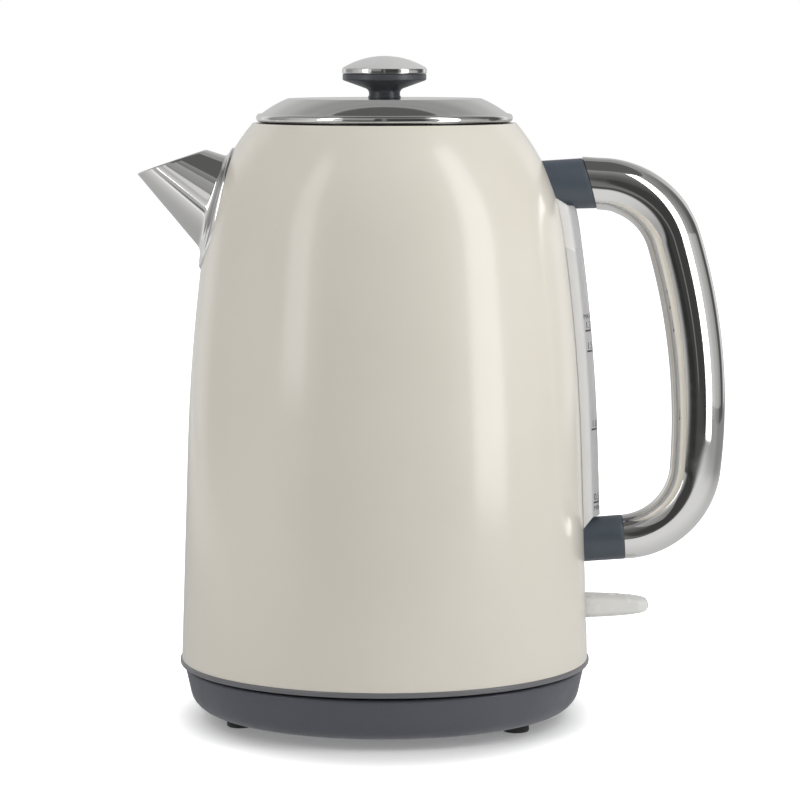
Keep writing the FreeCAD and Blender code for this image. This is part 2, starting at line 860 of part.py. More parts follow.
def jug_base_cover():
    body = new_body("jug_base_cover")
    section = new_sketch(body, "XZ_Plane", "section")
    rib_from = "seat_rib_radius - seat_rib_width / 2"
    rib_to = "seat_rib_radius + seat_rib_width / 2"
    draw_outline(section, [
        ("cover_hole_radius", "cover_z"),
        (rib_from, "cover_z"),
        (rib_from, "seat_z"),
        (rib_to, "seat_z"),
        (rib_to, "cover_z"),
        ("cover_flat_radius", "cover_z"),
        ("cover_shelf_radius", "ring_z"),
        ("ring_radius", "ring_z", "ring_round"),
        ("ring_radius", "seam_z", "ring_round"),
        ("spigot_radius", "seam_z"),
        ("spigot_radius", "spigot_top_z"),
        ("spigot_radius - spigot_wall", "spigot_top_z"),
        ("spigot_radius - spigot_wall", "seam_z + ring_height / 2"),
        ("cover_flat_radius", "cover_floor_z"),
        ("cover_hole_radius", "cover_floor_z"),
    ])
    revolve(body, section)
    across = "cover_screw_ring * cos(cover_screw_angle)"
    deep = "cover_screw_ring * sin(cover_screw_angle)"
    boss = new_sketch(body, "XY_Plane", "boss", "cover_z")
    draw_circle(boss, across, deep, "cover_boss_radius")
    post = pad(body, boss, "heater_under_z - cover_z", "post")
    around_axis(body, [post], 3, "posts")
    recess = (
        ("head", "cover_z", "screw_head_radius", "screw_head_height"),
        ("hole", "cover_z", "screw_radius", "screw_head_height + screw_bite"),
    )
    for name, height, radius, depth in recess:
        opening = new_sketch(body, "XY_Plane", name, height)
        draw_circle(opening, across, deep, radius)
        cut = pocket(body, opening, depth, f"{name}_cut", reverse=True)
        around_axis(body, [cut], 3, f"{name}_cuts")
    return body


def switch_window():
    """The opening in the shell that the switch lever passes through."""
    return side_pad("switch_window", [
        ("pivot_x", "pivot_z - window_below"),
        ("pivot_x + cutter_reach", "pivot_z - window_below"),
        ("pivot_x + cutter_reach", "pivot_z + window_above"),
        ("pivot_x", "pivot_z + window_above"),
    ], "lever_width + 2 * window_side_gap")


GAUGE_PORTS = {"low": "gauge_low_z + gauge_port_inset", "top": "gauge_top_z - gauge_port_inset"}
HANDLE_SCREWS = {"low": "low_joint_z", "top": "top_joint_z"}


def side_rods(label, radius, heights):
    """Rods along X on the handle's side, one at each height."""
    rods = [
        rod_along_x(f"{label}_{name}", radius, "0", "bow_x", "0", height) for name, height in heights.items()
    ]
    return gathered(label, rods, "Compound")


def spout_cone(label, half_angle, shift="0"):
    """A cone along the spout from its apex, moved down its axis by a shift."""
    piece = cone(label, "0", f"spout_root_length * tan({half_angle})", "spout_root_length")
    across = f"apex_x + ({shift}) * cos(spout_dip)"
    up = f"apex_z - ({shift}) * sin(spout_dip)"
    return put(piece, across, "0", up, ALONG_Y, "90 + spout_dip")


def body_shell():
    wall = skin("body_wall_skin", jug_form, jug_inside)
    openings = gathered("body_openings", [
        switch_window(),
        spout_cone("body_spout_hole", "spout_half_angle", "spout_bore_shift"),
        side_rods("body_gauge_holes", "gauge_port_radius", GAUGE_PORTS),
        side_rods("body_screw_holes", "handle_screw_radius", HANDLE_SCREWS),
    ], "Compound")
    return boolean("Cut", "body_shell", wall, openings)


def neck_ring():
    section = turned("neck_ring_form", [
        ("neck_bore_radius", "neck_z - neck_depth"),
        ("neck_bore_radius + neck_sheet", "neck_z - neck_depth"),
        ("neck_bore_radius + neck_sheet", "neck_z - neck_sheet"),
        ("seam_radius", "neck_z - neck_sheet"),
        ("seam_radius", "neck_z"),
        ("neck_bore_radius", "neck_z"),
    ])
    return boolean("Common", "neck_ring", section, jug_inside)


def heater_plate():
    reach = "heater_rim_radius + heater_rim_wall + body_wall"
    dish = turned("heater_plate_form", [
        ("0", "heater_under_z"),
        ("heater_rim_radius", "heater_under_z"),
        ("heater_rim_radius", "heater_z - heater_rim"),
        (reach, "heater_z - heater_rim"),
        (reach, "heater_z"),
        ("0", "heater_z"),
    ])
    seated = boolean("Common", "heater_plate_seated", dish, jug_inside)
    hole = put(
        cylinder("heater_plate_hole", "steam_tube_radius", "heater_rim + heater_sheet"),
        "steam_tube_offset", "0", "heater_z - heater_rim",
    )
    return boolean("Cut", "heater_plate", seated, hole)


def heat_diffuser():
    return turned("heat_diffuser", [
        ("0", "diffuser_z"),
        ("diffuser_radius", "diffuser_z", "diffuser_thickness / 3"),
        ("diffuser_radius", "heater_under_z"),
        ("0", "heater_under_z"),
    ])


def heating_element():
    ring = document.addObject("Part::Torus", "element_ring")
    tie(ring, "Radius1", "element_ring_radius")
    tie(ring, "Radius2", "element_radius")
    tie(ring, "Angle3", "element_sweep")
    put(ring, "0", "0", "element_z")
    terminals = [
        put(
            cylinder(f"element_terminal_{end}", "terminal_radius", "terminal_length"),
            f"element_ring_radius * cos({angle})",
            f"element_ring_radius * sin({angle})",
            "element_z - terminal_length",
        )
        for end, angle in (("start", "terminal_turn"), ("end", "element_sweep - terminal_turn"))
    ]
    return gathered("heating_element", [ring, *terminals])


def control_housing():
    return turned("control_housing", [
        ("0", "control_z"),
        ("control_radius", "control_z"),
        ("control_radius", "diffuser_z - control_step", "control_round"),
        ("control_neck_radius", "diffuser_z - control_step"),
        ("control_neck_radius", "diffuser_z"),
        ("0", "diffuser_z"),
    ])


def steam_tube():
    body = new_body("steam_tube")
    ring = new_sketch(body, "XY_Plane", "ring", "steam_foot_z")
    draw_circle(ring, "steam_tube_offset", "0", "steam_tube_radius")
    draw_circle(ring, "steam_tube_offset", "0", "steam_tube_radius - steam_tube_wall")
    pad(body, ring, "steam_top_z - steam_foot_z", "tube")
    return body


def steam_tube_seal():
    body = new_body("steam_tube_seal")
    ring = new_sketch(body, "XY_Plane", "ring", "heater_z")
    draw_circle(ring, "steam_tube_offset", "0", "steam_seal_radius")
    draw_circle(ring, "steam_tube_offset", "0", "steam_tube_radius")
    pad(body, ring, "steam_seal_height", "bush")
    return body


def steam_disc():
    piece = cylinder("steam_disc", "steam_disc_radius", "steam_disc_thickness")
    return put(piece, "steam_tube_offset", "0", "steam_disc_z - steam_disc_thickness")


def steam_switch_holder():
    body = new_body("steam_switch_holder")
    plan = new_sketch(body, "XY_Plane", "plan", "cover_floor_z")
    draw_outline(plan, [
        ("steam_tube_offset - holder_length / 2", "-holder_width / 2", "holder_round"),
        ("steam_tube_offset + holder_length / 2", "-holder_width / 2", "holder_round"),
        ("steam_tube_offset + holder_length / 2", "holder_width / 2", "holder_round"),
        ("steam_tube_offset - holder_length / 2", "holder_width / 2", "holder_round"),
    ])
    pad(body, plan, "steam_disc_z - steam_disc_thickness - cover_floor_z", "block")
    return body


# Switch lever on its bracket


def switch_bracket():
    body = new_body("bracket_cheeks")
    side = new_sketch(body, "XZ_Plane", "side")
    draw_outline(side, [
        ("pivot_x - cheek_back", "cover_floor_z"),
        ("pivot_x - lever_back", "cover_floor_z"),
        ("pivot_x + cheek_front", "pivot_z - cheek_top"),
        ("pivot_x + cheek_front", "pivot_z + cheek_top", "cheek_thickness"),
        ("pivot_x - cheek_front", "pivot_z + cheek_top", "cheek_thickness"),
    ])
    pad(body, side, "2 * (cheek_inside + cheek_thickness)", "cheeks", symmetric=True)
    gap = new_sketch(body, "XZ_Plane", "gap")
    draw_outline(gap, [
        ("pivot_x - cheek_back - cheek_web", "cover_floor_z + cheek_web"),
        ("pivot_x + cheek_front + cheek_web", "cover_floor_z + cheek_web"),
        ("pivot_x + cheek_front + cheek_web", "pivot_z + cheek_top + cheek_web"),
        ("pivot_x - cheek_back - cheek_web", "pivot_z + cheek_top + cheek_web"),
    ])
    pocket(body, gap, "2 * cheek_inside", "gap_cut", symmetric=True)
    hole = new_sketch(body, "XZ_Plane", "hole")
    draw_circle(hole, "pivot_x", "pivot_z", "pivot_pin_radius")
    body.Tip = pocket(body, hole, "4 * (cheek_inside + cheek_thickness)", "hole_cut", symmetric=True)
    return boolean("Fuse", "switch_bracket", body, switch_apron())


def switch_apron():
    """A bar across the cheeks with a nose that fills the window below the lever, flush with the jug."""
    low = "pivot_z - window_below + apron_gap"
    top = "pivot_z - apron_drop"
    back = "pivot_x - cheek_front"
    bar, nose = [
        side_pad(label, [(back, low), (front, low), (front, top), (back, top)], width)
        for label, front, width in (
            ("apron_bar", "pivot_x + apron_bar_reach", "2 * (cheek_inside + cheek_thickness)"),
            ("apron_nose", "pivot_x + cutter_reach", "lever_width + 2 * (window_side_gap - apron_gap)"),
        )
    ]
    return boolean("Fuse", "switch_apron", bar, boolean("Common", "apron_flush", nose, jug_form))


def pivot_rod(label, radius, half_length):
    """A rod along the lever's pivot axis."""
    piece = cylinder(label, radius, f"2 * ({half_length})")
    return put(piece, "pivot_x", half_length, "pivot_z", ACROSS_X, "90")


def switch_lever():
    nose_x = "lever_tip_x - lever_nose_length"
    side = side_pad("lever_side", [
        ("pivot_x - lever_back", "pivot_z - lever_root_height / 2", "lever_root_round"),
        (nose_x, "pivot_z - lever_nose_height / 2", "lever_nose_round"),
        ("lever_tip_x", "lever_tip_z - lever_tip_height / 2", "lever_tip_round"),
        ("lever_tip_x", "lever_tip_z + lever_tip_height / 2", "lever_tip_round"),
        (nose_x, "pivot_z + lever_nose_height / 2", "lever_nose_round"),
        ("pivot_x - lever_back", "pivot_z + lever_root_height / 2", "lever_root_round"),
    ], "2 * lever_width")
    plan = new_body("lever_plan")
    outline = new_sketch(plan, "XY_Plane", "outline", "pivot_z - lever_root_height")
    draw_outline(outline, [
        ("pivot_x - lever_back - lever_gap", "-lever_width / 2"),
        ("lever_tip_x", "-lever_tip_width / 2", "lever_corner_round"),
        ("lever_tip_x", "lever_tip_width / 2", "lever_corner_round"),
        ("pivot_x - lever_back - lever_gap", "lever_width / 2"),
    ])
    pad(plan, outline, "2 * lever_root_height", "block")
    paddle = boolean("Common", "lever_paddle", side, plan)
    bore = pivot_rod("lever_bore", "pivot_pin_radius + pivot_play", "lever_width")
    return boolean("Cut", "switch_lever", paddle, bore)


# Spout


def spout():
    barrel = spout_cone("spout_barrel", "spout_half_angle")
    collar_form = outline_solid("spout_collar_form", "spout_flange_thickness")
    collar_skin = skin("spout_collar_skin", collar_form, jug_form)
    collar_reach = spout_cone("spout_collar_reach", "spout_flange_half_angle")
    collar = boolean("Common", "spout_collar", collar_skin, collar_reach)
    outside = boolean("Cut", "spout_outside", barrel, jug_form)
    whole = boolean("Fuse", "spout_whole", outside, collar)
    bore = spout_cone("spout_bore", "spout_half_angle", "spout_bore_shift")
    bored = boolean("Cut", "spout_bored", whole, bore)
    back_x = "tip_x - cutter_reach * cos(spout_mouth_rise)"
    back_z = "tip_z - cutter_reach * sin(spout_mouth_rise)"
    front_x = "tip_x + cutter_reach * cos(spout_mouth_rise)"
    front_z = "tip_z + cutter_reach * sin(spout_mouth_rise)"
    mouth = side_pad("spout_mouth", [
        (back_x, back_z),
        (front_x, front_z),
        (front_x, f"{front_z} + cutter_reach"),
        (back_x, f"{front_z} + cutter_reach"),
    ], "2 * cutter_reach")
    return boolean("Cut", "spout", bored, mouth)


def strainer_holes():
    """Holes in rows half a pitch apart, kept inside the strainer's border."""
    holes = []
    reach = math.floor(measure("strainer_radius / strainer_pitch"))
    for row in range(-reach, reach + 1):
        for column in range(-reach, reach + 1):
            deep = f"strainer_pitch * ({column} + {row % 2} / 2)"
            rise = f"strainer_pitch * {row} * sin(60)"
            border = measure("strainer_radius - strainer_pitch")
            if math.hypot(measure(deep), measure(rise)) < border:
                name = f"strainer_hole_{row + reach}_{column + reach}"
                holes.append(rod_along_x(
                    name, "strainer_hole_radius", "apex_x", "-apex_x", deep, f"strainer_z + {rise}",
                ))
    return gathered("strainer_holes", holes, "Compound")


def spout_strainer():
    sheet = skin(
        "strainer_skin", jug_inside, outline_solid("strainer_form", "-body_wall - strainer_sheet"),
    )
    border = rod_along_x("strainer_border", "strainer_radius", "apex_x", "-apex_x", "0", "strainer_z")
    blank = boolean("Common", "strainer_blank", sheet, border)
    return boolean("Cut", "spout_strainer", blank, strainer_holes())


# Handle


def handle_path(body):
    """The tube's centre line: two straight ends, two bends and one long bow, all tangent."""
    sketch = new_sketch(body, "XZ_Plane", "path")
    tail_x = "top_joint_x - handle_tail * cos(handle_top_tilt)"
    tail_z = "top_joint_z + handle_tail * sin(handle_top_tilt)"
    lead_x = "low_joint_x + handle_tail * cos(handle_low_tilt)"
    lead_z = "low_joint_z + handle_tail * sin(handle_low_tilt)"
    centre_x = "bow_x - handle_bow_radius"
    tail, top_joint = point_at(tail_x, tail_z), point_at("top_joint_x", "top_joint_z")
    low_joint, lead = point_at("low_joint_x", "low_joint_z"), point_at(lead_x, lead_z)
    bow_centre = point_at(centre_x, "bow_z")
    bow_radius = measure("handle_bow_radius")

    def bend(start, onward, side, radius):
        """Centre of a bend that touches a straight run and the inside of the bow, and its ends."""
        offset = start + side * radius - bow_centre
        along = offset.dot(onward)
        square = offset.dot(offset) - (bow_radius - radius) ** 2
        run = math.sqrt(along ** 2 - square) - along
        centre = start + onward * run + side * radius
        touch = bow_centre + (centre - bow_centre).normalize() * bow_radius
        return centre, start + onward * run, touch

    top_way = (top_joint - tail).normalize()
    low_way = (lead - low_joint).normalize()
    top_centre, top_start, top_touch = bend(tail, top_way, -left_of(top_way), measure("handle_top_bend"))
    low_centre, low_end, low_touch = bend(low_joint, low_way, left_of(low_way), measure("handle_low_bend"))
    edges = [
        add_line(sketch, tail, top_start),
        add_arc(sketch, top_start, top_touch, top_centre, False),
        add_arc(sketch, top_touch, low_touch, bow_centre, False),
        add_arc(sketch, low_touch, low_end, low_centre, False),
        add_line(sketch, low_end, low_joint),
    ]
    for before, after in zip(edges, edges[1:]):
        join(sketch, before, after, smooth=True)
    pin(sketch, edges[0][0], 1, tail_x, tail_z)
    pin(sketch, edges[4][0], 2, "low_joint_x", "low_joint_z")
    pin(sketch, edges[2][0], 3, centre_x, "bow_z")
    for edge, size in ((edges[1], "handle_top_bend"), (edges[2], "handle_bow_radius"),
                       (edges[3], "handle_low_bend")):
        constrain(sketch, "Radius", edge[0], size=size)
    for place, across, up, edge in ((top_joint, "top_joint_x", "top_joint_z", edges[0]),
                                    (lead, lead_x, lead_z, edges[4])):
        mark = sketch.addGeometry(Part.Point(place), True)
        pin(sketch, mark, 1, across, up)
        constrain(sketch, "PointOnObject", mark, 1, edge[0])
    return sketch


HANDLE_SECTIONS = (
    ("top", "Edge1", 0.0, "handle_top_diameter"),
    ("mid", "Edge3", 0.55, "handle_mid_diameter"),
    ("low", "Edge5", 1.0, "handle_low_diameter"),
)


def handle_sections(body, path, name, inset):
    """Round sections square to the path at its two ends and in the bow."""
    sections = []
    for place, edge, share, diameter in HANDLE_SECTIONS:
        sketch = body.newObject("Sketcher::SketchObject", f"{body.Name}_{name}_{place}")
        sketch.AttachmentSupport = [(path, edge)]
        sketch.MapMode = "NormalToEdge"
        sketch.MapPathParameter = share
        draw_circle(sketch, "0", "0", f"{diameter} / 2 - {inset}")
        sections.append(sketch)
    return sections


def swept(body, kind, path, sections, name):
    feature = body.newObject(f"PartDesign::{kind}", f"{body.Name}_{name}")
    feature.Profile = sections[0]
    feature.Spine = (path, [f"Edge{number}" for number in range(1, 6)])
    feature.Sections = [(section, [""]) for section in sections[1:]]
    feature.Transformation = "Multisection"
    return feature


def mitre_half(label, side):
    """Everything on one side of the slanted joint between the upper bracket and the tube."""
    up_x = "cutter_reach * sin(mitre_tilt)"
    up_z = "cutter_reach * cos(mitre_tilt)"
    return side_pad(label, [
        (f"top_joint_x + {up_x}", f"top_joint_z - {up_z}"),
        (f"top_joint_x - {up_x}", f"top_joint_z + {up_z}"),
        (f"top_joint_x - {up_x} + {side} * cutter_reach", f"top_joint_z + {up_z}"),
        (f"top_joint_x + {up_x} + {side} * cutter_reach", f"top_joint_z - {up_z}"),
    ], "cutter_reach")


def handle_tube():
    body = new_body("handle_tube_form")
    path = handle_path(body)
    document.recompute()
    swept(body, "AdditivePipe", path, handle_sections(body, path, "outer", "0"), "tube")
    document.recompute()
    body.Tip = swept(
        body, "SubtractivePipe", path, handle_sections(body, path, "inner", "handle_wall"), "hollow",
    )
    return boolean("Cut", "handle_tube", body, mitre_half("tube_mitre", "-1"))


def bracket_spigot(label, diameter, joint, tilt, length):
    """A spigot that holds the tube's end from inside, running both ways from the joint."""
    rod = cylinder(label, f"{diameter} / 2 - handle_wall - bracket_spigot_gap", f"2 * {length}")
    across = f"{joint}_joint_x - {length} * cos({tilt})"
    up = f"{joint}_joint_z - {length} * sin({tilt})"
    return put(rod, across, "0", up, ALONG_Y, f"90 - ({tilt})")


def bracket_stub(label, joint, root_radius, end_radius, tilt, beyond):
    """A stub that widens from inside the jug to the tube, going on past the joint."""
    growth = f"({end_radius} - {root_radius}) * ({beyond}) / bracket_depth"
    stub = cone(label, root_radius, f"{end_radius} + {growth}", f"bracket_depth + {beyond}")
    across = f"{joint}_joint_x - bracket_depth * cos({tilt})"
    up = f"{joint}_joint_z - bracket_depth * sin({tilt})"
    return put(stub, across, "0", up, ALONG_Y, f"90 - ({tilt})")


def handle_upper_bracket(gauge_block):
    stub = bracket_stub(
        "upper_bracket_stub", "top", "bracket_top_root_radius", "handle_top_diameter / 2", "bracket_top_tilt",
        "handle_tail",
    )
    mitred = boolean("Cut", "upper_bracket_mitred", stub, mitre_half("bracket_mitre", "1"))
    spigot = bracket_spigot(
        "upper_bracket_spigot", "handle_top_diameter", "top", "-handle_top_tilt", "bracket_spigot_length",
    )
    joined = boolean("Fuse", "upper_bracket_joined", mitred, spigot)
    return seated_bracket("handle_upper_bracket", joined, gauge_block, "top")


def handle_lower_bracket(gauge_block):
    stub = bracket_stub(
        "lower_bracket_stub", "low", "bracket_low_root_radius", "handle_low_diameter / 2", "handle_low_tilt",
        "0",
    )
    spigot = bracket_spigot(
        "lower_bracket_spigot", "handle_low_diameter", "low", "handle_low_tilt", "bracket_low_spigot_length",
    )
    joined = boolean("Fuse", "lower_bracket_joined", stub, spigot)
    return seated_bracket("handle_lower_bracket", joined, gauge_block, "low")


def seated_bracket(label, joined, gauge_block, end):
    """Fit a bracket to the jug's side and round the end of the gauge, and drill it for its screw."""
    drill = side_rods(f"{label}_drill", "handle_screw_radius", {end: HANDLE_SCREWS[end]})
    deep = boolean("Common", f"{label}_drill_depth", drill, bite_form)
    tools = gathered(f"{label}_tools", [jug_form, gauge_block, deep], "Compound")
    return boolean("Cut", label, joined, tools)


def handle_screws():
    heads = boolean(
        "Common", "handle_screw_heads",
        side_rods("handle_screw_head_rods", "handle_screw_head_radius", HANDLE_SCREWS),
        skin("handle_screw_head_skin", jug_inside,
             outline_solid("handle_screw_head_form", "-body_wall - handle_screw_head_height")),
    )
    shanks = boolean(
        "Common", "handle_screw_shanks",
        side_rods("handle_screw_rods", "handle_screw_radius", HANDLE_SCREWS),
        skin("handle_screw_skin", bite_form, jug_inside),
    )
    return boolean("Fuse", "handle_screws", heads, shanks)


bite_form = outline_solid("handle_screw_bite_form", "handle_screw_bite")


# Water gauge


def gauge_slab(label, width, inset):
    """The gauge's reach in height, with slanted ends, shortened by an inset at each end."""
    fall = "cutter_reach * tan(gauge_top_slant)"
    rise = "cutter_reach * tan(gauge_low_slant)"
    low = f"gauge_low_z + {inset}"
    top = f"gauge_top_z - {inset}"
    return side_pad(label, [
        ("waist_radius", low),
        ("waist_radius + cutter_reach", f"{low} + {rise}"),
        ("shoulder_radius + cutter_reach", f"{top} - {fall}"),
        ("shoulder_radius", top),
        ("shoulder_radius - cutter_reach / 2", f"{top} + {fall} / 2"),
        ("waist_radius - cutter_reach / 2", f"{low} - {rise} / 2"),
    ], width)


def gauge_face(label, inset):
    """The gauge's rounded face: the jug's outline turned about an axis that lies nearer to the gauge."""
    face = outline_solid(label, f"gauge_face_round - neck_radius - {inset}")
    tie(face, "Placement.Base.x", "neck_radius + gauge_proud - gauge_face_round")
    return face


def gauge_block():
    """The gauge's outside, solid, as the brackets are cut to take it."""
    slab = gauge_slab("gauge_slab", "gauge_width", "0")
    strip = boolean("Common", "gauge_strip", gauge_face("gauge_face_form", "0"), slab)
    return boolean("Cut", "gauge_block", strip, jug_form)


def water_gauge(block):
    channel_slab = gauge_slab("gauge_channel_slab", "gauge_width - 2 * gauge_wall", "gauge_end_wall")
    channel_strip = boolean(
        "Common", "gauge_channel_strip", gauge_face("gauge_channel_form", "gauge_wall"), channel_slab,
    )
    channel = boolean("Cut", "gauge_channel", channel_strip, outline_solid("gauge_back_form", "gauge_wall"))
    port_layer = skin(
        "gauge_port_layer",
        outline_solid("gauge_port_form", "gauge_wall / 2"),
        outline_solid("gauge_port_inner_form", "-body_wall - gauge_port_depth"),
    )
    ports = boolean(
        "Common", "gauge_ports", side_rods("gauge_port_rods", "gauge_port_radius", GAUGE_PORTS), port_layer,
    )
    outside = boolean("Fuse", "gauge_outside", block, ports)
    bore_layer = outline_solid("gauge_bore_form", "gauge_proud / 2")
    bores = boolean(
        "Common", "gauge_bores", side_rods("gauge_bore_rods", "gauge_port_bore", GAUGE_PORTS), bore_layer,
    )
    hollow = boolean("Fuse", "gauge_hollow", channel, bores)
    return boolean("Cut", "water_gauge", outside, hollow)


def gauge_seals():
    layer = skin(
        "gauge_seal_layer", jug_inside, outline_solid("gauge_seal_form", "-body_wall - gauge_seal_thickness"),
    )
    washers = boolean(
        "Common", "gauge_washers", side_rods("gauge_seal_rods", "gauge_seal_radius", GAUGE_PORTS), layer,
    )
    holes = side_rods("gauge_seal_holes", "gauge_port_radius", GAUGE_PORTS)
    return boolean("Cut", "gauge_seals", washers, holes)


# Lid


def lid_cover():
    under_z = "crown_z - lid_sheet"
    return turned("lid_cover", [
        ("lid_radius - lid_rim_width", "lid_z"),
        ("lid_radius", "lid_z", "lid_rim_round"),
        ("lid_radius", "lid_z + lid_rim_height", "lid_rim_round"),
        ("lid_shoulder_radius", "lid_z + lid_rim_height", None, "lid_slope_bow"),
        ("lid_crown_radius", "crown_z", "lid_crown_round"),
        ("knob_screw_radius", "crown_z"),
        ("knob_screw_radius", under_z),
        ("lid_crown_radius", under_z),
        ("lid_radius - lid_rim_width", "lid_z + lid_rim_height - lid_sheet"),
    ])


def lid_plug():
    body = new_body("lid_plug")
    section = new_sketch(body, "XZ_Plane", "section")
    seal_top = "lid_z - seal_below"
    seal_low = "lid_z - seal_below - seal_height"
    draw_outline(section, [
        ("knob_screw_radius", "plug_z + knob_screw_head_height"),
        ("knob_screw_head_radius", "plug_z + knob_screw_head_height"),
        ("knob_screw_head_radius", "plug_z"),
        ("plug_radius", "plug_z", "plug_wall / 2"),
        ("plug_radius", seal_low),
        ("plug_radius - seal_depth", seal_low),
        ("plug_radius - seal_depth", seal_top),
        ("plug_radius", seal_top),
        ("plug_radius", "lid_z"),
        ("lid_radius - lid_rim_width", "lid_z"),
        ("lid_radius - lid_rim_width", "lid_z + plug_flange_thickness"),
        ("plug_radius - seal_depth - plug_wall", "lid_z + plug_flange_thickness"),
        ("plug_radius - seal_depth - plug_wall", "plug_z + plug_wall"),
        ("plug_post_radius", "plug_z + plug_wall"),
        ("plug_post_radius", "crown_z - lid_sheet"),
        ("knob_screw_radius", "crown_z - lid_sheet"),
    ])
    revolve(body, section)
    vent = new_sketch(body, "XY_Plane", "vent", "plug_z")
    draw_circle(vent, "vent_ring_radius", "0", "vent_radius")
    cut = pocket(body, vent, "plug_wall", "vent_cut", reverse=True)
    around_axis(body, [cut], 8, "vents")
    return body


def lid_seal():
    seal_top = "lid_z - seal_below"
    seal_low = "lid_z - seal_below - seal_height"
    return turned("lid_seal", [
        ("plug_radius - seal_depth", seal_low),
        ("plug_radius + seal_proud", seal_low, "seal_depth / 2"),
        ("plug_radius + seal_proud", seal_top, "seal_depth / 2"),
        ("plug_radius - seal_depth", seal_top),
    ])


def knob_stem():
    screw_top = "plug_z + knob_screw_head_height + knob_screw_length"
    return turned("knob_stem", [
        ("knob_screw_radius", "crown_z"),
        ("knob_collar_radius", "crown_z"),
        ("knob_collar_radius", "crown_z + knob_collar_height", "(knob_collar_radius - knob_stem_radius) / 2"),
        ("knob_stem_radius", "crown_z + knob_collar_height"),
        ("knob_stem_radius", "crown_z + knob_stem_height", "knob_stem_round"),
        ("knob_flare_radius", "crown_z + knob_flare_height"),
        ("knob_radius", "crown_z + knob_edge_height"),
        ("knob_radius", "knob_flange_z"),
        ("0", "knob_flange_z"),
        ("0", screw_top),
        ("knob_screw_radius", screw_top),
    ])


def knob_cap():
    return turned("knob_cap", [
        ("cap_radius - cap_sheet", "knob_flange_z"),
        ("cap_radius", "knob_flange_z"),
        ("cap_radius", "cap_edge_z", None, "cap_dome_radius"),
        ("0", "cap_top_z"),
        ("0", "cap_edge_z"),
        ("cap_radius - cap_sheet", "cap_edge_z - cap_sheet / 2"),
    ])


def knob_screw():
    head_top = "plug_z + knob_screw_head_height"
    return turned("knob_screw", [
        ("0", "plug_z"),
        ("knob_screw_head_radius", "plug_z"),
        ("knob_screw_head_radius", head_top),
        ("knob_screw_radius", head_top),
        ("knob_screw_radius", f"{head_top} + knob_screw_length"),
        ("0", f"{head_top} + knob_screw_length"),
    ])


gauge_outside = gauge_block()
nodes = [
    base_upper_shell(),
    cord_grommet(),
    base_bottom_plate(),
    rubber_feet(),
    screw_group("base_screws", "base_screw_ring", "0", "foot_height", "screw_bite"),
    lower_connector(),
    earth_pin(),
    upper_connector(),
    contact_rings(),
    jug_base_cover(),
    screw_group("cover_screws", "cover_screw_ring", "cover_screw_angle", "cover_z", "screw_bite"),
    body_shell(),
    neck_ring(),
    heater_plate(),
    heat_diffuser(),
    heating_element(),
    control_housing(),
    steam_tube(),
    steam_tube_seal(),
    steam_disc(),
    steam_switch_holder(),
    switch_bracket(),
    pivot_rod("switch_pivot_pin", "pivot_pin_radius", "cheek_inside + cheek_thickness"),
    switch_lever(),
    spout(),
    spout_strainer(),
    handle_tube(),
    handle_upper_bracket(gauge_outside),
    handle_lower_bracket(gauge_outside),
    handle_screws(),
    water_gauge(gauge_outside),
    gauge_seals(),
    lid_cover(),
    lid_plug(),
    lid_seal(),
    knob_stem(),
    knob_cap(),
    knob_screw(),
]
document.recompute()

failed = [
    piece.Label for piece in document.Objects if "Invalid" in piece.State or "Error" in piece.State
]
unsound = [node.Label for node in nodes if node.Shape.isNull() or not node.Shape.isValid()]
if failed or unsound:
    raise RuntimeError(f"failed objects: {failed}; unsound pieces: {unsound}")

os.makedirs("parts", exist_ok=True)
for node in nodes:
    node.Shape.exportStep(f"parts/{node.Label}.step")
    print(f"{node.Label}: {len(node.Shape.Solids)} solids, {node.Shape.Volume:.1f} cubic millimetres")
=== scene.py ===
import json
import math

import bmesh
import bpy
import numpy as np
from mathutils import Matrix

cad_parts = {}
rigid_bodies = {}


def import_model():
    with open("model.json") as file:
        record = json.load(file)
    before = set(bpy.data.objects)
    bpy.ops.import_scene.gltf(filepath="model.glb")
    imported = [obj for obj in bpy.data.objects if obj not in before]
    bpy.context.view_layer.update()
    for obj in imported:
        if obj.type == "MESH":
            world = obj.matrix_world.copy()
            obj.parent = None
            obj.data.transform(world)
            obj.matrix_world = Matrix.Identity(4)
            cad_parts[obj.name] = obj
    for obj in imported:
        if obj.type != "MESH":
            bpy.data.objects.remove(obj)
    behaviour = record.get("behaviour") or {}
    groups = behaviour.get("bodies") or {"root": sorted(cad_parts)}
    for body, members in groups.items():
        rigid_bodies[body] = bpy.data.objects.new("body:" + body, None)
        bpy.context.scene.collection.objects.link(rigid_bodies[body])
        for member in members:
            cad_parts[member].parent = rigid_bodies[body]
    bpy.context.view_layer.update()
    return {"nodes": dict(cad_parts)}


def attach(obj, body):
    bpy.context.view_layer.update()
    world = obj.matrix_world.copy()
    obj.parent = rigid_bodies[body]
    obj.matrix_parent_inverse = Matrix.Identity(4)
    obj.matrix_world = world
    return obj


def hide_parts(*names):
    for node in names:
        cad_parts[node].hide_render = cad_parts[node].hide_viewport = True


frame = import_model()
nodes = frame["nodes"]


# Power base: a moulded dish of dark grey plastic with a rounded toe and a raised rim.
# Its flat deck lies inside the rim, with a shallow drip groove, and carries the connector.
# The mould leaves a fine satin grain.
def unit(vectors):
    """Each vector divided by its own length."""
    return vectors / np.linalg.norm(vectors, axis=-1, keepdims=True)


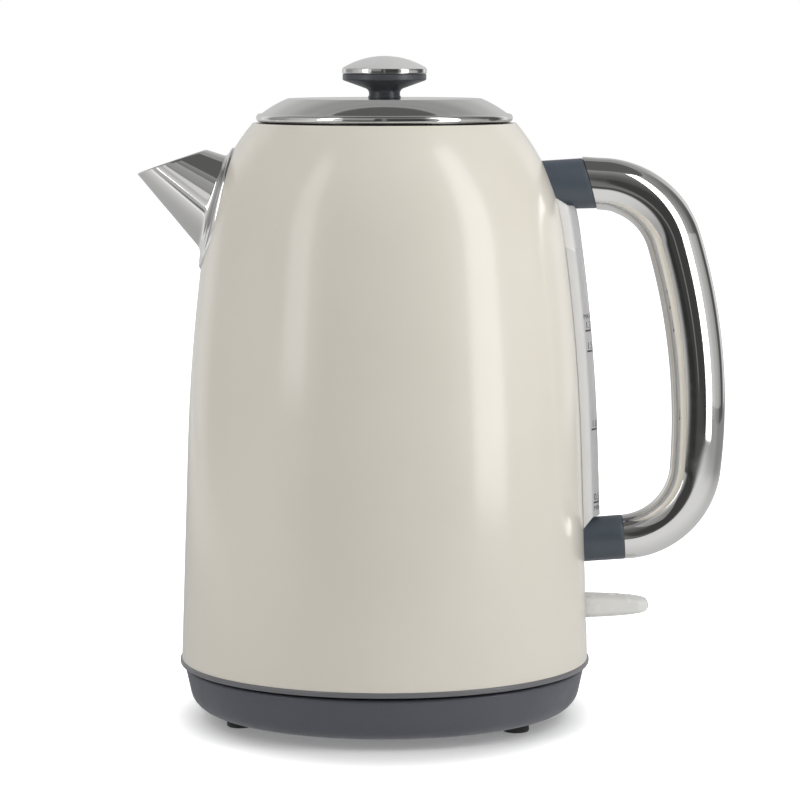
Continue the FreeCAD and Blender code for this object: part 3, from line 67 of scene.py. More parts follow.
def rounded_outline(corners, steps=8):
    """Closed outline through (radius, height, rounding) corners.

    Each corner becomes an arc tangent to its two sides: the arc's points are the circular blend
    of the two spokes from its centre. A rounding of 0 leaves the corner sharp.
    """
    corners = np.asarray(corners, float)
    place, rounding = corners[:, :2], corners[:, 2:]
    back = unit(np.roll(place, 1, axis=0) - place)
    onward = unit(np.roll(place, -1, axis=0) - place)
    half = np.arccos(np.clip(np.sum(back * onward, axis=1, keepdims=True), -1, 1)) / 2
    trim = rounding / np.tan(half)
    centre = place + unit(back + onward + 1e-12) * rounding / np.sin(half)
    sweep = np.maximum(np.pi - 2 * half, 1e-6)[:, :, None]
    share = np.linspace(0, 1, steps)[None, :, None]
    first = (place + back * trim - centre)[:, None] * np.sin((1 - share) * sweep)
    last = (place + onward * trim - centre)[:, None] * np.sin(share * sweep)
    points = (centre[:, None] + (first + last) / np.sin(sweep)).reshape(-1, 2)
    apart = np.linalg.norm(points - np.roll(points, 1, axis=0), axis=1) > 1e-7
    return points[apart]


def full_turn(count):
    """Angles evenly spaced round a full turn."""
    return np.linspace(0, 2 * np.pi, count, endpoint=False)


def turned_points(outline, turns=200):
    """Grid of the outline carried round the vertical axis: radius times cosine and sine, and height."""
    angle = full_turn(turns)
    radius, height = outline[:, 0, None], outline[:, 1, None]
    return np.stack([radius * np.cos(angle), radius * np.sin(angle), height + 0 * angle], axis=-1)


def grid_faces(rows, columns, wrap_rows, wrap_columns):
    """Quads between neighbouring points of a grid that is numbered row by row."""
    row = np.arange(rows if wrap_rows else rows - 1)[:, None]
    column = np.arange(columns if wrap_columns else columns - 1)[None, :]
    next_row, next_column = (row + 1) % rows, (column + 1) % columns
    corners = [row * columns + column, row * columns + next_column,
               next_row * columns + next_column, next_row * columns + column]
    return np.stack([corner + 0 * row + 0 * column for corner in corners], axis=-1).reshape(-1, 4)


def add_object(name, data):
    """A new object in the scene."""
    item = bpy.data.objects.new(name, data)
    bpy.context.scene.collection.objects.link(item)
    return item


def new_piece(name, points, faces, sharp=40):
    """A mesh piece with its poles merged, its faces outwards and its edges sharp past an angle."""
    mesh = bpy.data.meshes.new(name)
    mesh.from_pydata(points.reshape(-1, 3), [], list(map(list, faces)))
    work = bmesh.new()
    work.from_mesh(mesh)
    bmesh.ops.remove_doubles(work, verts=work.verts, dist=1e-7)
    bmesh.ops.recalc_face_normals(work, faces=work.faces)
    work.to_mesh(mesh)
    work.free()
    mesh.polygons.foreach_set("use_smooth", np.ones(len(mesh.polygons), bool))
    mesh.set_sharp_from_angle(angle=math.radians(sharp))
    return add_object(name, mesh)


def dress(piece, body, slot, material, *stands_for):
    """Give a piece its material, the body it moves with and the nodes it stands for; the slot is not used.
    """
    piece.data.materials.append(material)
    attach(piece, body)
    if stands_for:
        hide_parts(*stands_for)


# Nearly all values of a noise lie between these two.
noise_low, noise_high = 0.3, 0.7


def surface(material):
    """The shader that a material's surface follows."""
    return material.node_tree.nodes["Principled BSDF"]


def feed(node, inputs):
    """Give a shader node's inputs, by name or number, plain values or links from other nodes."""
    for socket, value in inputs.items():
        if isinstance(value, bpy.types.NodeSocket):
            node.id_data.links.new(value, node.inputs[socket])
        else:
            node.inputs[socket].default_value = value


def add_node(tree, kind, inputs, **settings):
    """The outputs of a new shader node with these settings and inputs."""
    node = tree.nodes.new("ShaderNode" + kind)
    for setting, value in settings.items():
        setattr(node, setting, value)
    feed(node, inputs)
    return node.outputs


def add_noise(material, scale, detail, stretch=(1, 1, 1)):
    """Noise over the piece's own coordinates, its cells stretched along the axes."""
    tree = material.node_tree
    place = add_node(tree, "TexCoord", {})["Object"]
    mapping = add_node(tree, "Mapping", {"Vector": place, "Scale": stretch})["Vector"]
    return add_node(tree, "TexNoise", {"Vector": mapping, "Scale": scale, "Detail": detail})["Fac"]


def add_relief(material, height, depth, socket="Normal"):
    """Raise the surface by a pattern, up to a depth in metres."""
    bump = add_node(material.node_tree, "Bump", {"Height": height, "Strength": 1.0, "Distance": depth})
    feed(surface(material), {socket: bump["Normal"]})


def add_slope(value, from_low, from_high, low, high, easing="LINEAR"):
    """A number that goes from low to high while a value goes from one end to the other."""
    ends = {"From Min": from_low, "From Max": from_high, "To Min": low, "To Max": high}
    slope = add_node(value.id_data, "MapRange", {"Value": value, **ends}, interpolation_type=easing)
    return slope["Result"]


def vary_gloss(material, pattern, low, high):
    """Let the roughness follow a pattern between two values."""
    feed(surface(material), {"Roughness": add_slope(pattern, noise_low, noise_high, low, high)})


def add_ramp(value, stops, easing="LINEAR"):
    """Colour along a value between (place, colour) stops, where a single number is a grey."""
    ramp = value.id_data.nodes.new("ShaderNodeValToRGB")
    ramp.color_ramp.interpolation = easing
    elements = ramp.color_ramp.elements
    while len(elements) < len(stops):
        elements.new(0.5)
    for element, (place, colour) in zip(elements, stops):
        element.position = place
        element.color = (*np.broadcast_to(colour, 3), 1)
    feed(ramp, {"Fac": value})
    return ramp.outputs["Color"]


def tint(material, pattern, dark, light):
    """Let the colour follow a pattern between two tones."""
    feed(surface(material), {"Base Color": add_ramp(pattern, [(noise_low, dark), (noise_high, light)])})


def finish_material(name, colour, roughness, metallic=0.0, grain=None, wear=None):
    """A finish of one colour.

    The grain is a noise's scale and detail and its relief's depth in metres. With wear, a noise's
    scale and detail, the roughness is a lowest and a highest value.
    """
    material = bpy.data.materials.new(name)
    material.use_nodes = True
    feed(surface(material),
         {"Base Color": (*colour, 1), "Roughness": np.mean(roughness), "Metallic": metallic})
    if grain:
        add_relief(material, add_noise(material, *grain[:2]), grain[2])
    if wear:
        vary_gloss(material, add_noise(material, *wear), *roughness)
    return material


base_plastic = finish_material("grained_grey_plastic", (0.091, 0.0935, 0.115), (0.38, 0.5),
                               grain=(2600, 2, 0.00004), wear=(90, 3))
tint(base_plastic, add_noise(base_plastic, 2600, 2), (0.084, 0.0863, 0.1062), (0.098, 0.1007, 0.1238))

foot_height = 0.0035
base_rim_height = 0.0197
deck_height, deck_underside = 0.0164, 0.0142
groove_inner, groove_outer, groove_depth = 0.0388, 0.0412, 0.0009
groove_floor = deck_height - groove_depth
nose_hole = 0.0182
plate_seat_radius, plate_seat_height = 0.0654, 0.0057
notch_inner, notch_outer = 0.0724, 0.0747
notch_top = 0.0121
notch_half_width = 0.0050
notch_cells = 3
base_outline = rounded_outline([
    (notch_outer, notch_top, 0),
    (0.0764, base_rim_height, 0.0009),
    (0.0734, base_rim_height, 0.0009),
    (0.0724, deck_height, 0.0008),
    (groove_outer, deck_height, 0.0003),
    (groove_outer, groove_floor, 0.0003),
    (groove_inner, groove_floor, 0.0003),
    (groove_inner, deck_height, 0.0003),
    (nose_hole, deck_height, 0.0002),
    (nose_hole, deck_underside, 0),
    (0.0730, deck_underside, 0),
    (notch_inner, notch_top, 0),
    (0.0706, plate_seat_height, 0.004),
    (plate_seat_radius, plate_seat_height, 0),
    (plate_seat_radius, foot_height, 0),
    (0.0728, foot_height, 0.0085),
])
notch_row = int(np.flatnonzero(np.isclose(base_outline, (notch_inner, notch_top)).all(axis=1))[0])
notch_half_angle = math.asin(notch_half_width / ((notch_inner + notch_outer) / 2))
base_turns = round(2 * math.pi * notch_cells / notch_half_angle)


def notched_faces(rows, columns, first_row, first_column, cells):
    """Faces of a closed ring with a notch from one row on, to the outline's end.

    The quads in the notch are left out. Its two sides are closed by flat faces through the
    outline's points there, and its top by quads from the first row of the notch to the outline's first.
    """
    notch_columns = (first_column + np.arange(cells + 1)) % columns
    quads = grid_faces(rows, columns, True, True).reshape(rows, columns, 4)
    kept = np.ones((rows, columns), bool)
    kept[first_row:, notch_columns[:-1]] = False
    side_rows = np.append(np.arange(first_row, rows), 0) * columns
    sides = [side_rows + column for column in (notch_columns[0], notch_columns[-1])]
    top = np.stack([notch_columns[:-1], notch_columns[1:], first_row * columns + notch_columns[1:],
                    first_row * columns + notch_columns[:-1]], axis=-1)
    return [*quads[kept], *sides, *top]


base_points = turned_points(base_outline, base_turns)
rear_column = round(base_turns / 4) - notch_cells
base_shell = new_piece("power_base_dish", base_points, notched_faces(
    len(base_outline), base_turns, notch_row, rear_column, 2 * notch_cells))
dress(base_shell, "power_base", "base_plastic", base_plastic, "base_upper_shell")


# Underside of the base: a flat plate of the same plastic, screwed up into the dish,
# with the rubber bush that the mains cord enters through at the rear edge.
def repaint(material, *names):
    """Give nodes that keep their own shape a material."""
    for name in names:
        nodes[name].data.materials.clear()
        nodes[name].data.materials.append(material)


rubber = finish_material("black_rubber", (0.034, 0.034, 0.036), (0.65, 0.85),
                         grain=(3200, 3, 0.00003), wear=(300, 2))
plated_screw = finish_material("zinc_plated_steel", (0.62, 0.62, 0.60), (0.25, 0.42), 1.0, wear=(900, 3))

repaint(base_plastic, "base_bottom_plate")
repaint(rubber, "cord_grommet")
repaint(plated_screw, "base_screws", "cover_screws", "knob_screw", "handle_screws", "switch_pivot_pin")


# Rubber feet: three soft round pads of black rubber with rounded soles, each moulded in one
# with the peg that is pushed up into the plate.
foot_ring_radius = 0.060
foot_angles = np.radians([85, 205, 325])
foot_radius, foot_seat = 0.0050, 0.0034
peg_radius, peg_top = 0.0022, 0.0050
foot_ways = np.stack([np.cos(foot_angles), np.sin(foot_angles), 0 * foot_angles], axis=-1)
one_foot = turned_points(rounded_outline([
    (0, 0, 0),
    (foot_radius, 0, 0.0008),
    (foot_radius, foot_seat, 0.0003),
    (peg_radius, foot_seat, 0),
    (peg_radius, peg_top, 0),
    (0, peg_top, 0),
]), 48)
feet_points = foot_ring_radius * foot_ways[:, None, None, :] + one_foot[None]
one_foot_faces = grid_faces(*one_foot.shape[:2], False, True)
first_points = np.arange(len(foot_angles))[:, None, None] * one_foot.shape[0] * one_foot.shape[1]
feet_faces = (first_points + one_foot_faces[None]).reshape(-1, 4)
feet = new_piece("soft_feet", feet_points, feet_faces)
dress(feet, "power_base", "black_rubber", rubber, "rubber_feet")


# Round connector: a black moulded nose on the deck with two contact grooves and an earth pin,
# and the socket under the jug that drops over it, with its brass rings.
black_plastic = finish_material("black_moulded_plastic", (0.022, 0.022, 0.024), (0.34, 0.5),
                                grain=(2400, 2, 0.00003), wear=(120, 3))
brass = finish_material("contact_brass", (0.62, 0.45, 0.17), (0.2, 0.42), 1.0, wear=(500, 4))
tint(brass, add_noise(brass, 140, 4), (0.50, 0.35, 0.13), (0.66, 0.49, 0.20))

repaint(black_plastic, "lower_connector", "upper_connector", "control_housing", "steam_tube",
        "steam_switch_holder", "switch_bracket")
repaint(brass, "earth_pin", "contact_rings", "steam_disc")


# Jug base cover: the satin grey ring that shows as a line round the jug's foot,
# moulded in one with the cover that closes the jug's underside and the rib it stands on.
def swept_piece(name, points, closed=False):
    """A piece from rows of points that run round; a closed one also joins its last row to its first."""
    return new_piece(name, points, grid_faces(*points.shape[:2], closed, True))


def turned_piece(name, outline, closed=True, turns=200):
    """A piece of revolution: closed outlines make a ring, open ones run from axis to axis."""
    return swept_piece(name, turned_points(outline, turns), closed)


ring_plastic = finish_material("satin_grey_plastic", (0.165, 0.165, 0.175), (0.28, 0.4),
                               grain=(2600, 2, 0.00002), wear=(110, 3))
socket_hole = 0.0218
cover_radius = 0.0695
cover_height, cover_inside = 0.01865, 0.0208
rib_inner, rib_outer, rib_foot = 0.0580, 0.0620, 0.0168
ring_radius, ring_height = 0.0782, 0.0208
seam_height = 0.0228
skirt_inner, skirt_outer, skirt_top = 0.0740, 0.0760, 0.0298
cover = turned_piece("jug_foot_cover", rounded_outline([
    (socket_hole, cover_height, 0.0003),
    (rib_inner, cover_height, 0),
    (rib_inner, rib_foot, 0.0004),
    (rib_outer, rib_foot, 0.0004),
    (rib_outer, cover_height, 0),
    (cover_radius, cover_height, 0.001),
    (0.0746, ring_height, 0.0005),
    (ring_radius, ring_height, 0.0006),
    (ring_radius, seam_height, 0.0006),
    (skirt_outer, seam_height, 0),
    (skirt_outer, skirt_top, 0),
    (skirt_inner, skirt_top, 0),
    (skirt_inner, 0.0238, 0),
    (cover_radius, cover_inside, 0),
    (socket_hole, cover_inside, 0),
]))
dress(cover, "jug", "ring_plastic", ring_plastic, "jug_base_cover")


# Jug body: a drawn steel shell with a straight flank, a long bow and a round shoulder,
# spray enamelled in warm cream and polished. It is open where the spout and the switch pass.
waist = (0.0749, 0.1035)
shoulder = (0.0676, 0.1863)
neck = (0.0497, 0.2261)
seam = (0.0776, seam_height)
shell_wall = 0.0009


def arc_from(start, direction, end):
    """Centre and radius of the arc that leaves start along direction and ends at end.

    The radius is the squared span over twice its part along the arc's side.
    """
    start, end = np.array(start), np.array(end)
    side = np.array([-direction[1], direction[0]])
    span = end - start
    radius = span @ span / (2 * span @ side)
    return start + side * radius, radius


flank_way = unit(np.array(waist) - np.array(seam))
bow_centre, bow_radius = arc_from(waist, flank_way, shoulder)
shoulder_spoke = np.array(shoulder) - bow_centre
shoulder_way = unit(np.array([-shoulder_spoke[1], shoulder_spoke[0]])) * np.sign(bow_radius)
crown_centre, crown_radius = arc_from(shoulder, shoulder_way, neck)


def jug_radius(height):
    """Radius of the jug at a height: a line, then two arcs, each the circle's half-chord there."""
    flank = seam[0] + (height - seam[1]) * (waist[0] - seam[0]) / (waist[1] - seam[1])
    bow = bow_centre[0] + np.sqrt(np.maximum(bow_radius ** 2 - (height - bow_centre[1]) ** 2, 0))
    crown = crown_centre[0] + np.sqrt(np.maximum(crown_radius ** 2 - (height - crown_centre[1]) ** 2, 0))
    return np.where(height < waist[1], flank, np.where(height < shoulder[1], bow, crown))


def tilted(angle):
    """Direction in the plane of the spout and the handle, at an angle up from level."""
    return np.array([math.cos(angle), 0, math.sin(angle)])


spout_apex = np.array([-0.1133, 0, 0.2308])
spout_dip = math.radians(34)
spout_axis = tilted(-spout_dip)
spout_hole_angle = 17.6

window_low, window_high = 0.0305, 0.0486
window_half_width, window_reach = 0.0085, 0.0766
window_cells = 4
window_half_angle = math.asin(window_half_width / window_reach)
shell_turns = round(2 * math.pi * window_cells / window_half_angle)
shell_heights = np.concatenate([
    np.linspace(seam[1], window_low, 4, endpoint=False),
    np.linspace(window_low, window_high, 8, endpoint=False),
    np.linspace(window_high, shoulder[1], 70, endpoint=False),
    np.linspace(shoulder[1], neck[1], 50),
])
shell_radii = jug_radius(shell_heights)
outer_wall = turned_points(np.stack([shell_radii, shell_heights], axis=-1), shell_turns)
inner_wall = turned_points(np.stack([shell_radii - shell_wall, shell_heights], axis=-1), shell_turns)

middle = (outer_wall[:-1] + outer_wall[1:]) / 2
middle = (middle + np.roll(middle, -1, axis=1)) / 2
towards = unit(middle - spout_apex) @ spout_axis
turn = np.arange(shell_turns)
beside_window = (turn < window_cells) | (turn >= shell_turns - window_cells)
within_window = (middle[..., 2] > window_low) & (middle[..., 2] < window_high) & beside_window
within_spout = (towards > math.cos(math.radians(spout_hole_angle))) & (middle[..., 0] < 0)
kept = ~(within_spout | within_window)


def walled_faces(kept):
    """Faces of a thin wall whose two grids follow each other in number.

    Both skins keep the marked cells, and a quad joins the skins along each side of a kept cell
    whose neighbour is open or missing.
    """
    rows, columns = kept.shape[0] + 1, kept.shape[1]
    skin = grid_faces(rows, columns, False, True)[kept.ravel()]
    number = np.arange(rows * columns).reshape(rows, columns)
    last = np.zeros((1, columns), bool)
    above = np.concatenate([kept[1:], last])
    below = np.concatenate([last, kept[:-1]])
    onward = np.roll(number, -1, axis=1)
    sides = [
        (kept & ~above, number[1:], onward[1:]),
        (kept & ~below, number[:-1], onward[:-1]),
        (kept & ~np.roll(kept, -1, axis=1), onward[:-1], onward[1:]),
        (kept & ~np.roll(kept, 1, axis=1), number[:-1], number[1:]),
    ]
    lips = [np.stack([one, two, two + rows * columns, one + rows * columns], axis=-1)[open_side]
            for open_side, one, two in sides]
    return np.concatenate([skin, skin + rows * columns, *lips])


enamel = finish_material("cream_enamel", (0.79, 0.745, 0.655), (0.38, 0.46), wear=(60, 3))
feed(surface(enamel),
     {"Coat Weight": 1.0, "Coat Roughness": 0.16, "Coat IOR": 1.5, "Specular IOR Level": 0.2})
add_relief(enamel, add_noise(enamel, 420, 2), 0.000012, "Coat Normal")
tint(enamel, add_noise(enamel, 35, 3), (0.783, 0.738, 0.648), (0.797, 0.752, 0.662))

satin_steel = finish_material("satin_steel", (0.60, 0.59, 0.57), (0.24, 0.42), 1.0)
brushing = add_noise(satin_steel, 60, 4, (1, 1, 30))
vary_gloss(satin_steel, brushing, 0.24, 0.42)
add_relief(satin_steel, brushing, 0.00002)


def values_of(items, quality):
    """A place or a direction of each of a mesh's faces or corners, one to a row."""
    values = np.empty(len(items) * 3)
    items.foreach_get(quality, values)
    return values.reshape(-1, 3)


def of_faces(piece, quality):
    """The centre or the normal of each face of a piece."""
    return values_of(piece.data.polygons, quality)


def second_finish(piece, material, faces):
    """Give the marked faces of a piece another material."""
    piece.data.materials.append(material)
    piece.data.polygons.foreach_set("material_index", faces.astype(np.int32))


def looks_inward(piece, start, axis, least):
    """Faces that look at an axis: their normal times the spoke to them is below minus a least value."""
    spoke = of_faces(piece, "center") - start
    spoke = spoke - (spoke @ axis)[:, None] * axis
    return np.sum(spoke * of_faces(piece, "normal"), axis=1) < -least


shell = new_piece("enamelled_shell", np.stack([outer_wall, inner_wall]), walled_faces(kept))
dress(shell, "jug", "cream_enamel", enamel, "body_shell")
jug_axis = np.array([0, 0, 1])
second_finish(shell, satin_steel, looks_inward(shell, 0, jug_axis, least=0.02))


# Inside the jug: a satin steel neck ring, heater plate and spout strainer, with the heater's
# cast disc and element below and soft washers where the gauge and the steam tube pass.
silicone = finish_material("clear_silicone", (0.52, 0.52, 0.50), 0.55, grain=(1800, 2, 0.00002))
feed(surface(silicone), {"Subsurface Weight": 0.2})
cast_aluminium = finish_material("cast_aluminium", (0.58, 0.58, 0.59), 0.5, 1.0, grain=(700, 4, 0.00006))

repaint(satin_steel, "neck_ring", "heater_plate", "spout_strainer", "heating_element")
repaint(cast_aluminium, "heat_diffuser")
repaint(silicone, "steam_tube_seal", "gauge_seals", "lid_seal")


# Spout: a cone of polished sheet metal cut by a rising mouth, with a flange that follows the
# jug's side. The flange meets the cone in a small rolled fillet.
spout_half_angle = math.radians(16.2)
spout_wall = 0.0010
lip_rise = 0.0003
flange_height = 0.0010
flange_edge = ((spout_hole_angle, 1), (18.6, 1), (19.4, 1), (19.75, 0.9), (19.95, 0.6), (20, 0))
fillet_height = 0.0026
spout_tip = np.array([-0.0933, 0, 0.2068])
mouth_rise = math.radians(19)
mouth_normal = tilted(math.pi / 2 + mouth_rise)
spout_up = tilted(math.pi / 2 - spout_dip)
spout_turn = full_turn(160)


def spout_ways(half_angle):
    """Directions of a cone's straight lines: its axis and a circling spoke, mixed by the half angle."""
    spoke = np.cos(spout_turn)[:, None] * spout_up + np.sin(spout_turn)[:, None] * np.array([0, 1, 0])
    return math.cos(half_angle) * spout_axis + math.sin(half_angle) * spoke


def meet_jug(start, ways, offset, near=0.02, far=0.085, halvings=40):
    """Points where straight lines meet the jug's side moved out by an offset, by repeated halving."""
    near_run, far_run = np.full(len(ways), near), np.full(len(ways), far)
    for _ in range(halvings):
        run = (near_run + far_run) / 2
        point = start + run[:, None] * ways
        outside = np.hypot(point[:, 0], point[:, 1]) > jug_radius(point[:, 2]) + offset
        near_run = np.where(outside, run, near_run)
        far_run = np.where(outside, far_run, run)
    return start + near_run[:, None] * ways


def meet_mouth(start, ways):
    """Points where straight lines meet the plane of the mouth."""
    run = mouth_normal @ (spout_tip - start) / (ways @ mouth_normal)
    return start + run[:, None] * ways


def rows_between(first, last, count):
    """Rows of points evenly spaced on straight lines from one row to another, without the last."""
    share = np.linspace(0, 1, count, endpoint=False)[:, None, None]
    return first + (last - first) * share


cone_ways = spout_ways(spout_half_angle)
bore_apex = spout_apex + spout_axis * spout_wall / math.sin(spout_half_angle)
bore_root = meet_jug(bore_apex, cone_ways, -shell_wall)
bore_mouth = meet_mouth(bore_apex, cone_ways)
cone_mouth = meet_mouth(spout_apex, cone_ways)
lip = (bore_mouth + cone_mouth) / 2 + mouth_normal * lip_rise
fillet_top = meet_jug(spout_apex, cone_ways, fillet_height)
fillet_corner = meet_jug(spout_apex, cone_ways, flange_height)
flange_rows = [meet_jug(spout_apex, spout_ways(math.radians(angle)), share * flange_height)[None]
               for angle, share in flange_edge]
fillet_share = np.linspace(0, 1, 8, endpoint=False)[:, None, None]
fillet = ((1 - fillet_share) ** 2 * fillet_top + 2 * fillet_share * (1 - fillet_share) * fillet_corner
          + fillet_share ** 2 * flange_rows[0])
flange_back = meet_jug(bore_apex, cone_ways, 0)[None]
spout_points = np.concatenate([
    rows_between(bore_root, bore_mouth, 24),
    bore_mouth[None],
    lip[None],
    rows_between(cone_mouth, fillet_top, 24),
    fillet,
    *flange_rows,
    flange_back,
])

polished = finish_material("polished_metal", (0.74, 0.735, 0.725), (0.04, 0.085), 1.0,
                           grain=(1400, 3, 0.0000015), wear=(240, 5))
spout = swept_piece("cone_spout", spout_points, closed=True)
dress(spout, "jug", "polished_metal", polished, "spout")
second_finish(spout, satin_steel, looks_inward(spout, spout_apex, spout_axis, least=0.003))


# Handle brackets: two slate plastic stubs that widen to the tube, screwed on from inside the
# jug. The upper one ends in a slanted joint, and both follow the jug's side.
slate = finish_material("slate_plastic", (0.068, 0.083, 0.105), (0.33, 0.46),
                        grain=(2400, 2, 0.00003), wear=(100, 3))
tint(slate, add_noise(slate, 60, 3), (0.064, 0.079, 0.100), (0.072, 0.088, 0.110))

top_joint = np.array([0.0775, 0, 0.2034])
low_joint = np.array([0.09117, 0, 0.0684])
top_tilt, low_tilt, mitre_tilt = np.radians([2.4, 4, 15.7])
mitre_normal = tilted(mitre_tilt)
top_root_radius, top_end_radius = 0.0088, 0.0096
low_root_radius, low_end_radius = 0.0083, 0.0085
bracket_depth = 0.034
edge_round = 0.0005
edge_middle = 0.3 * edge_round
tube_turn = full_turn(96)


def middle_row(row):
    """A row of as many points, all at the middle of the given one, on which an end closes."""
    return np.repeat(row.mean(axis=0)[None], len(row), axis=0)[None]


def bracket_points(joint, tilt, root_radius, end_radius, joint_normal):
    """Rows round a stub from the jug's side to its joint with the tube.

    Each straight line of the stub runs from where it leaves the jug to the joint's plane. The
    ends close on their middles, the joint's with a rounded edge.
    """
    up = tilted(math.pi / 2 + tilt)
    spoke = np.cos(tube_turn)[:, None] * up + np.sin(tube_turn)[:, None] * np.array([0, 1, 0])
    growth = (end_radius - root_radius) / bracket_depth
    ways = tilted(tilt) + growth * spoke
    rim = joint + end_radius * spoke
    end = rim - ways * ((rim - joint) @ joint_normal / (ways @ joint_normal))[:, None]
    root = meet_jug(end, -ways, 0, far=bracket_depth)
    return np.concatenate([
        middle_row(root),
        rows_between(root, end - ways * edge_round, 12),
        (end - ways * edge_round)[None],
        (end - ways * edge_middle - spoke * edge_middle)[None],
        (end - spoke * edge_round)[None],
        np.repeat(joint[None], len(root), axis=0)[None],
    ])


upper_stub = bracket_points(top_joint, top_tilt, top_root_radius, top_end_radius, mitre_normal)
lower_stub = bracket_points(low_joint, low_tilt, low_root_radius, low_end_radius, tilted(low_tilt))
for name, rows, stands_for in (("upper_handle_stub", upper_stub, "handle_upper_bracket"),
                               ("lower_handle_stub", lower_stub, "handle_lower_bracket")):
    dress(swept_piece(name, rows), "jug", "slate_plastic", slate, stands_for)


# Handle: a bent tube of polished metal, widest where it is gripped, that leaves the upper stub
# nearly level, bows out and comes back in to the lower stub.
handle_bow_radius = 0.2295
handle_reach, handle_bow_height = 0.1194, 0.1156
handle_bow_centre = np.array([handle_reach - handle_bow_radius, handle_bow_height])
top_bend, low_bend = 0.030, 0.029
top_fall = math.radians(-4.5)
tube_shares, tube_radii = [0, 0.42, 1], [0.00972, 0.01045, 0.0085]
tube_wall = 0.0012
mitre_reach = 0.014


def bend_into_bow(start, way, side, radius):
    """Centre and two ends of a bend that touches a straight run and the inside of the bow.

    The bend's centre is a radius beside the run and the two radii's difference from the bow's centre.
    """
    offset = start + side * radius - handle_bow_centre
    along = offset @ way
    run = math.sqrt(along ** 2 - (offset @ offset - (handle_bow_radius - radius) ** 2)) - along
    centre = start + way * run + side * radius
    touch = handle_bow_centre + unit(centre - handle_bow_centre) * handle_bow_radius
    return centre, start + way * run, touch


def arc_points(centre, start, end, count):
    """Points on the clockwise arc about a centre from one point to another, without the last."""
    first = math.atan2(*(start - centre)[::-1])
    last = math.atan2(*(end - centre)[::-1])
    angle = np.linspace(first, last, count, endpoint=False)[:, None]
    return centre + np.linalg.norm(start - centre) * np.hstack([np.cos(angle), np.sin(angle)])


top_start, low_start = top_joint[[0, 2]], low_joint[[0, 2]]
top_way, low_way = tilted(top_fall)[[0, 2]], tilted(low_tilt)[[0, 2]]
below_top = np.array([top_way[1], -top_way[0]])
above_low = np.array([-low_way[1], low_way[0]])
top_centre, top_leave, top_touch = bend_into_bow(top_start, top_way, below_top, top_bend)
low_centre, low_leave, low_touch = bend_into_bow(low_start, low_way, above_low, low_bend)
path = np.concatenate([
    np.linspace(top_start, top_leave, 12, endpoint=False),
    arc_points(top_centre, top_leave, top_touch, 40),
    arc_points(handle_bow_centre, top_touch, low_touch, 60),
    arc_points(low_centre, low_touch, low_leave, 40),
    np.linspace(low_leave, low_start, 3),
])
run = np.concatenate([[0], np.cumsum(np.linalg.norm(np.diff(path, axis=0), axis=1))])
path_way = unit(np.gradient(path, run, axis=0))
path_side = np.stack([-path_way[:, 1], path_way[:, 0]], axis=-1)


def tube_radius(run):
    """Half the tube's width along its run: a parabola through its two ends and its widest grip."""
    return np.polyval(np.polyfit(tube_shares, tube_radii, 2), run / run[-1])


def tube_rows(inset):
    """Rings round the path, square to it, eased over to the slanted plane at the upper joint."""
    radius = tube_radius(run)[:, None, None] - inset
    across = np.cos(tube_turn)[None, :, None] * path_side[:, None]
    rings = path[:, None] + radius * across
    deep = radius[..., 0] * np.sin(tube_turn)
    points = np.stack([rings[..., 0], deep, rings[..., 1]], axis=-1)
    way = np.stack([path_way[:, 0], 0 * run, path_way[:, 1]], axis=-1)[:, None]
    slip = -((points - top_joint) @ mitre_normal) / (way @ mitre_normal)
    ease = np.clip(1 - run / mitre_reach, 0, 1)[:, None, None]
    side = np.stack([path_side[:, 0], 0 * run, path_side[:, 1]], axis=-1)
    lean = -(side @ mitre_normal) / (way[:, 0] @ mitre_normal)
    square = radius * np.cos(tube_turn)[None, :, None] * lean[:, None, None]
    first = np.where(np.arange(len(run))[:, None, None] == 0, slip[..., None], square)
    return points + way * first * ease


tube_points = np.concatenate([tube_rows(0), tube_rows(tube_wall)[::-1]])
tube = swept_piece("bent_handle_tube", tube_points, closed=True)
dress(tube, "jug", "polished_metal", polished, "handle_tube")


# Water gauge: a moulded strip of clear plastic on the jug's side under the handle, with a rounded
# face and a hollow channel down its middle. Its head is frosted, and its scale is printed in grey.
gauge_proud = 0.0064
gauge_half_width = 0.0085
gauge_wall = 0.0014
gauge_gap = 0.00005
gauge_face_radius = 0.0135
gauge_edge_round, gauge_back_round = 0.0005, 0.0002
gauge_corner_steps = 6
channel_end = 0.003
gauge_low, gauge_top = 0.0718, 0.1970
gauge_low_slope, gauge_top_slope = math.tan(math.radians(36)), math.tan(math.radians(25))
frost_height = 0.1790


def gauge_face(deep, height, inset=0.0):
    """Reach of the gauge's rounded face: a circle that stands a step proud of the jug's side."""
    radius = gauge_face_radius - inset
    return jug_radius(height) + gauge_proud - gauge_face_radius + np.sqrt(radius ** 2 - deep ** 2)


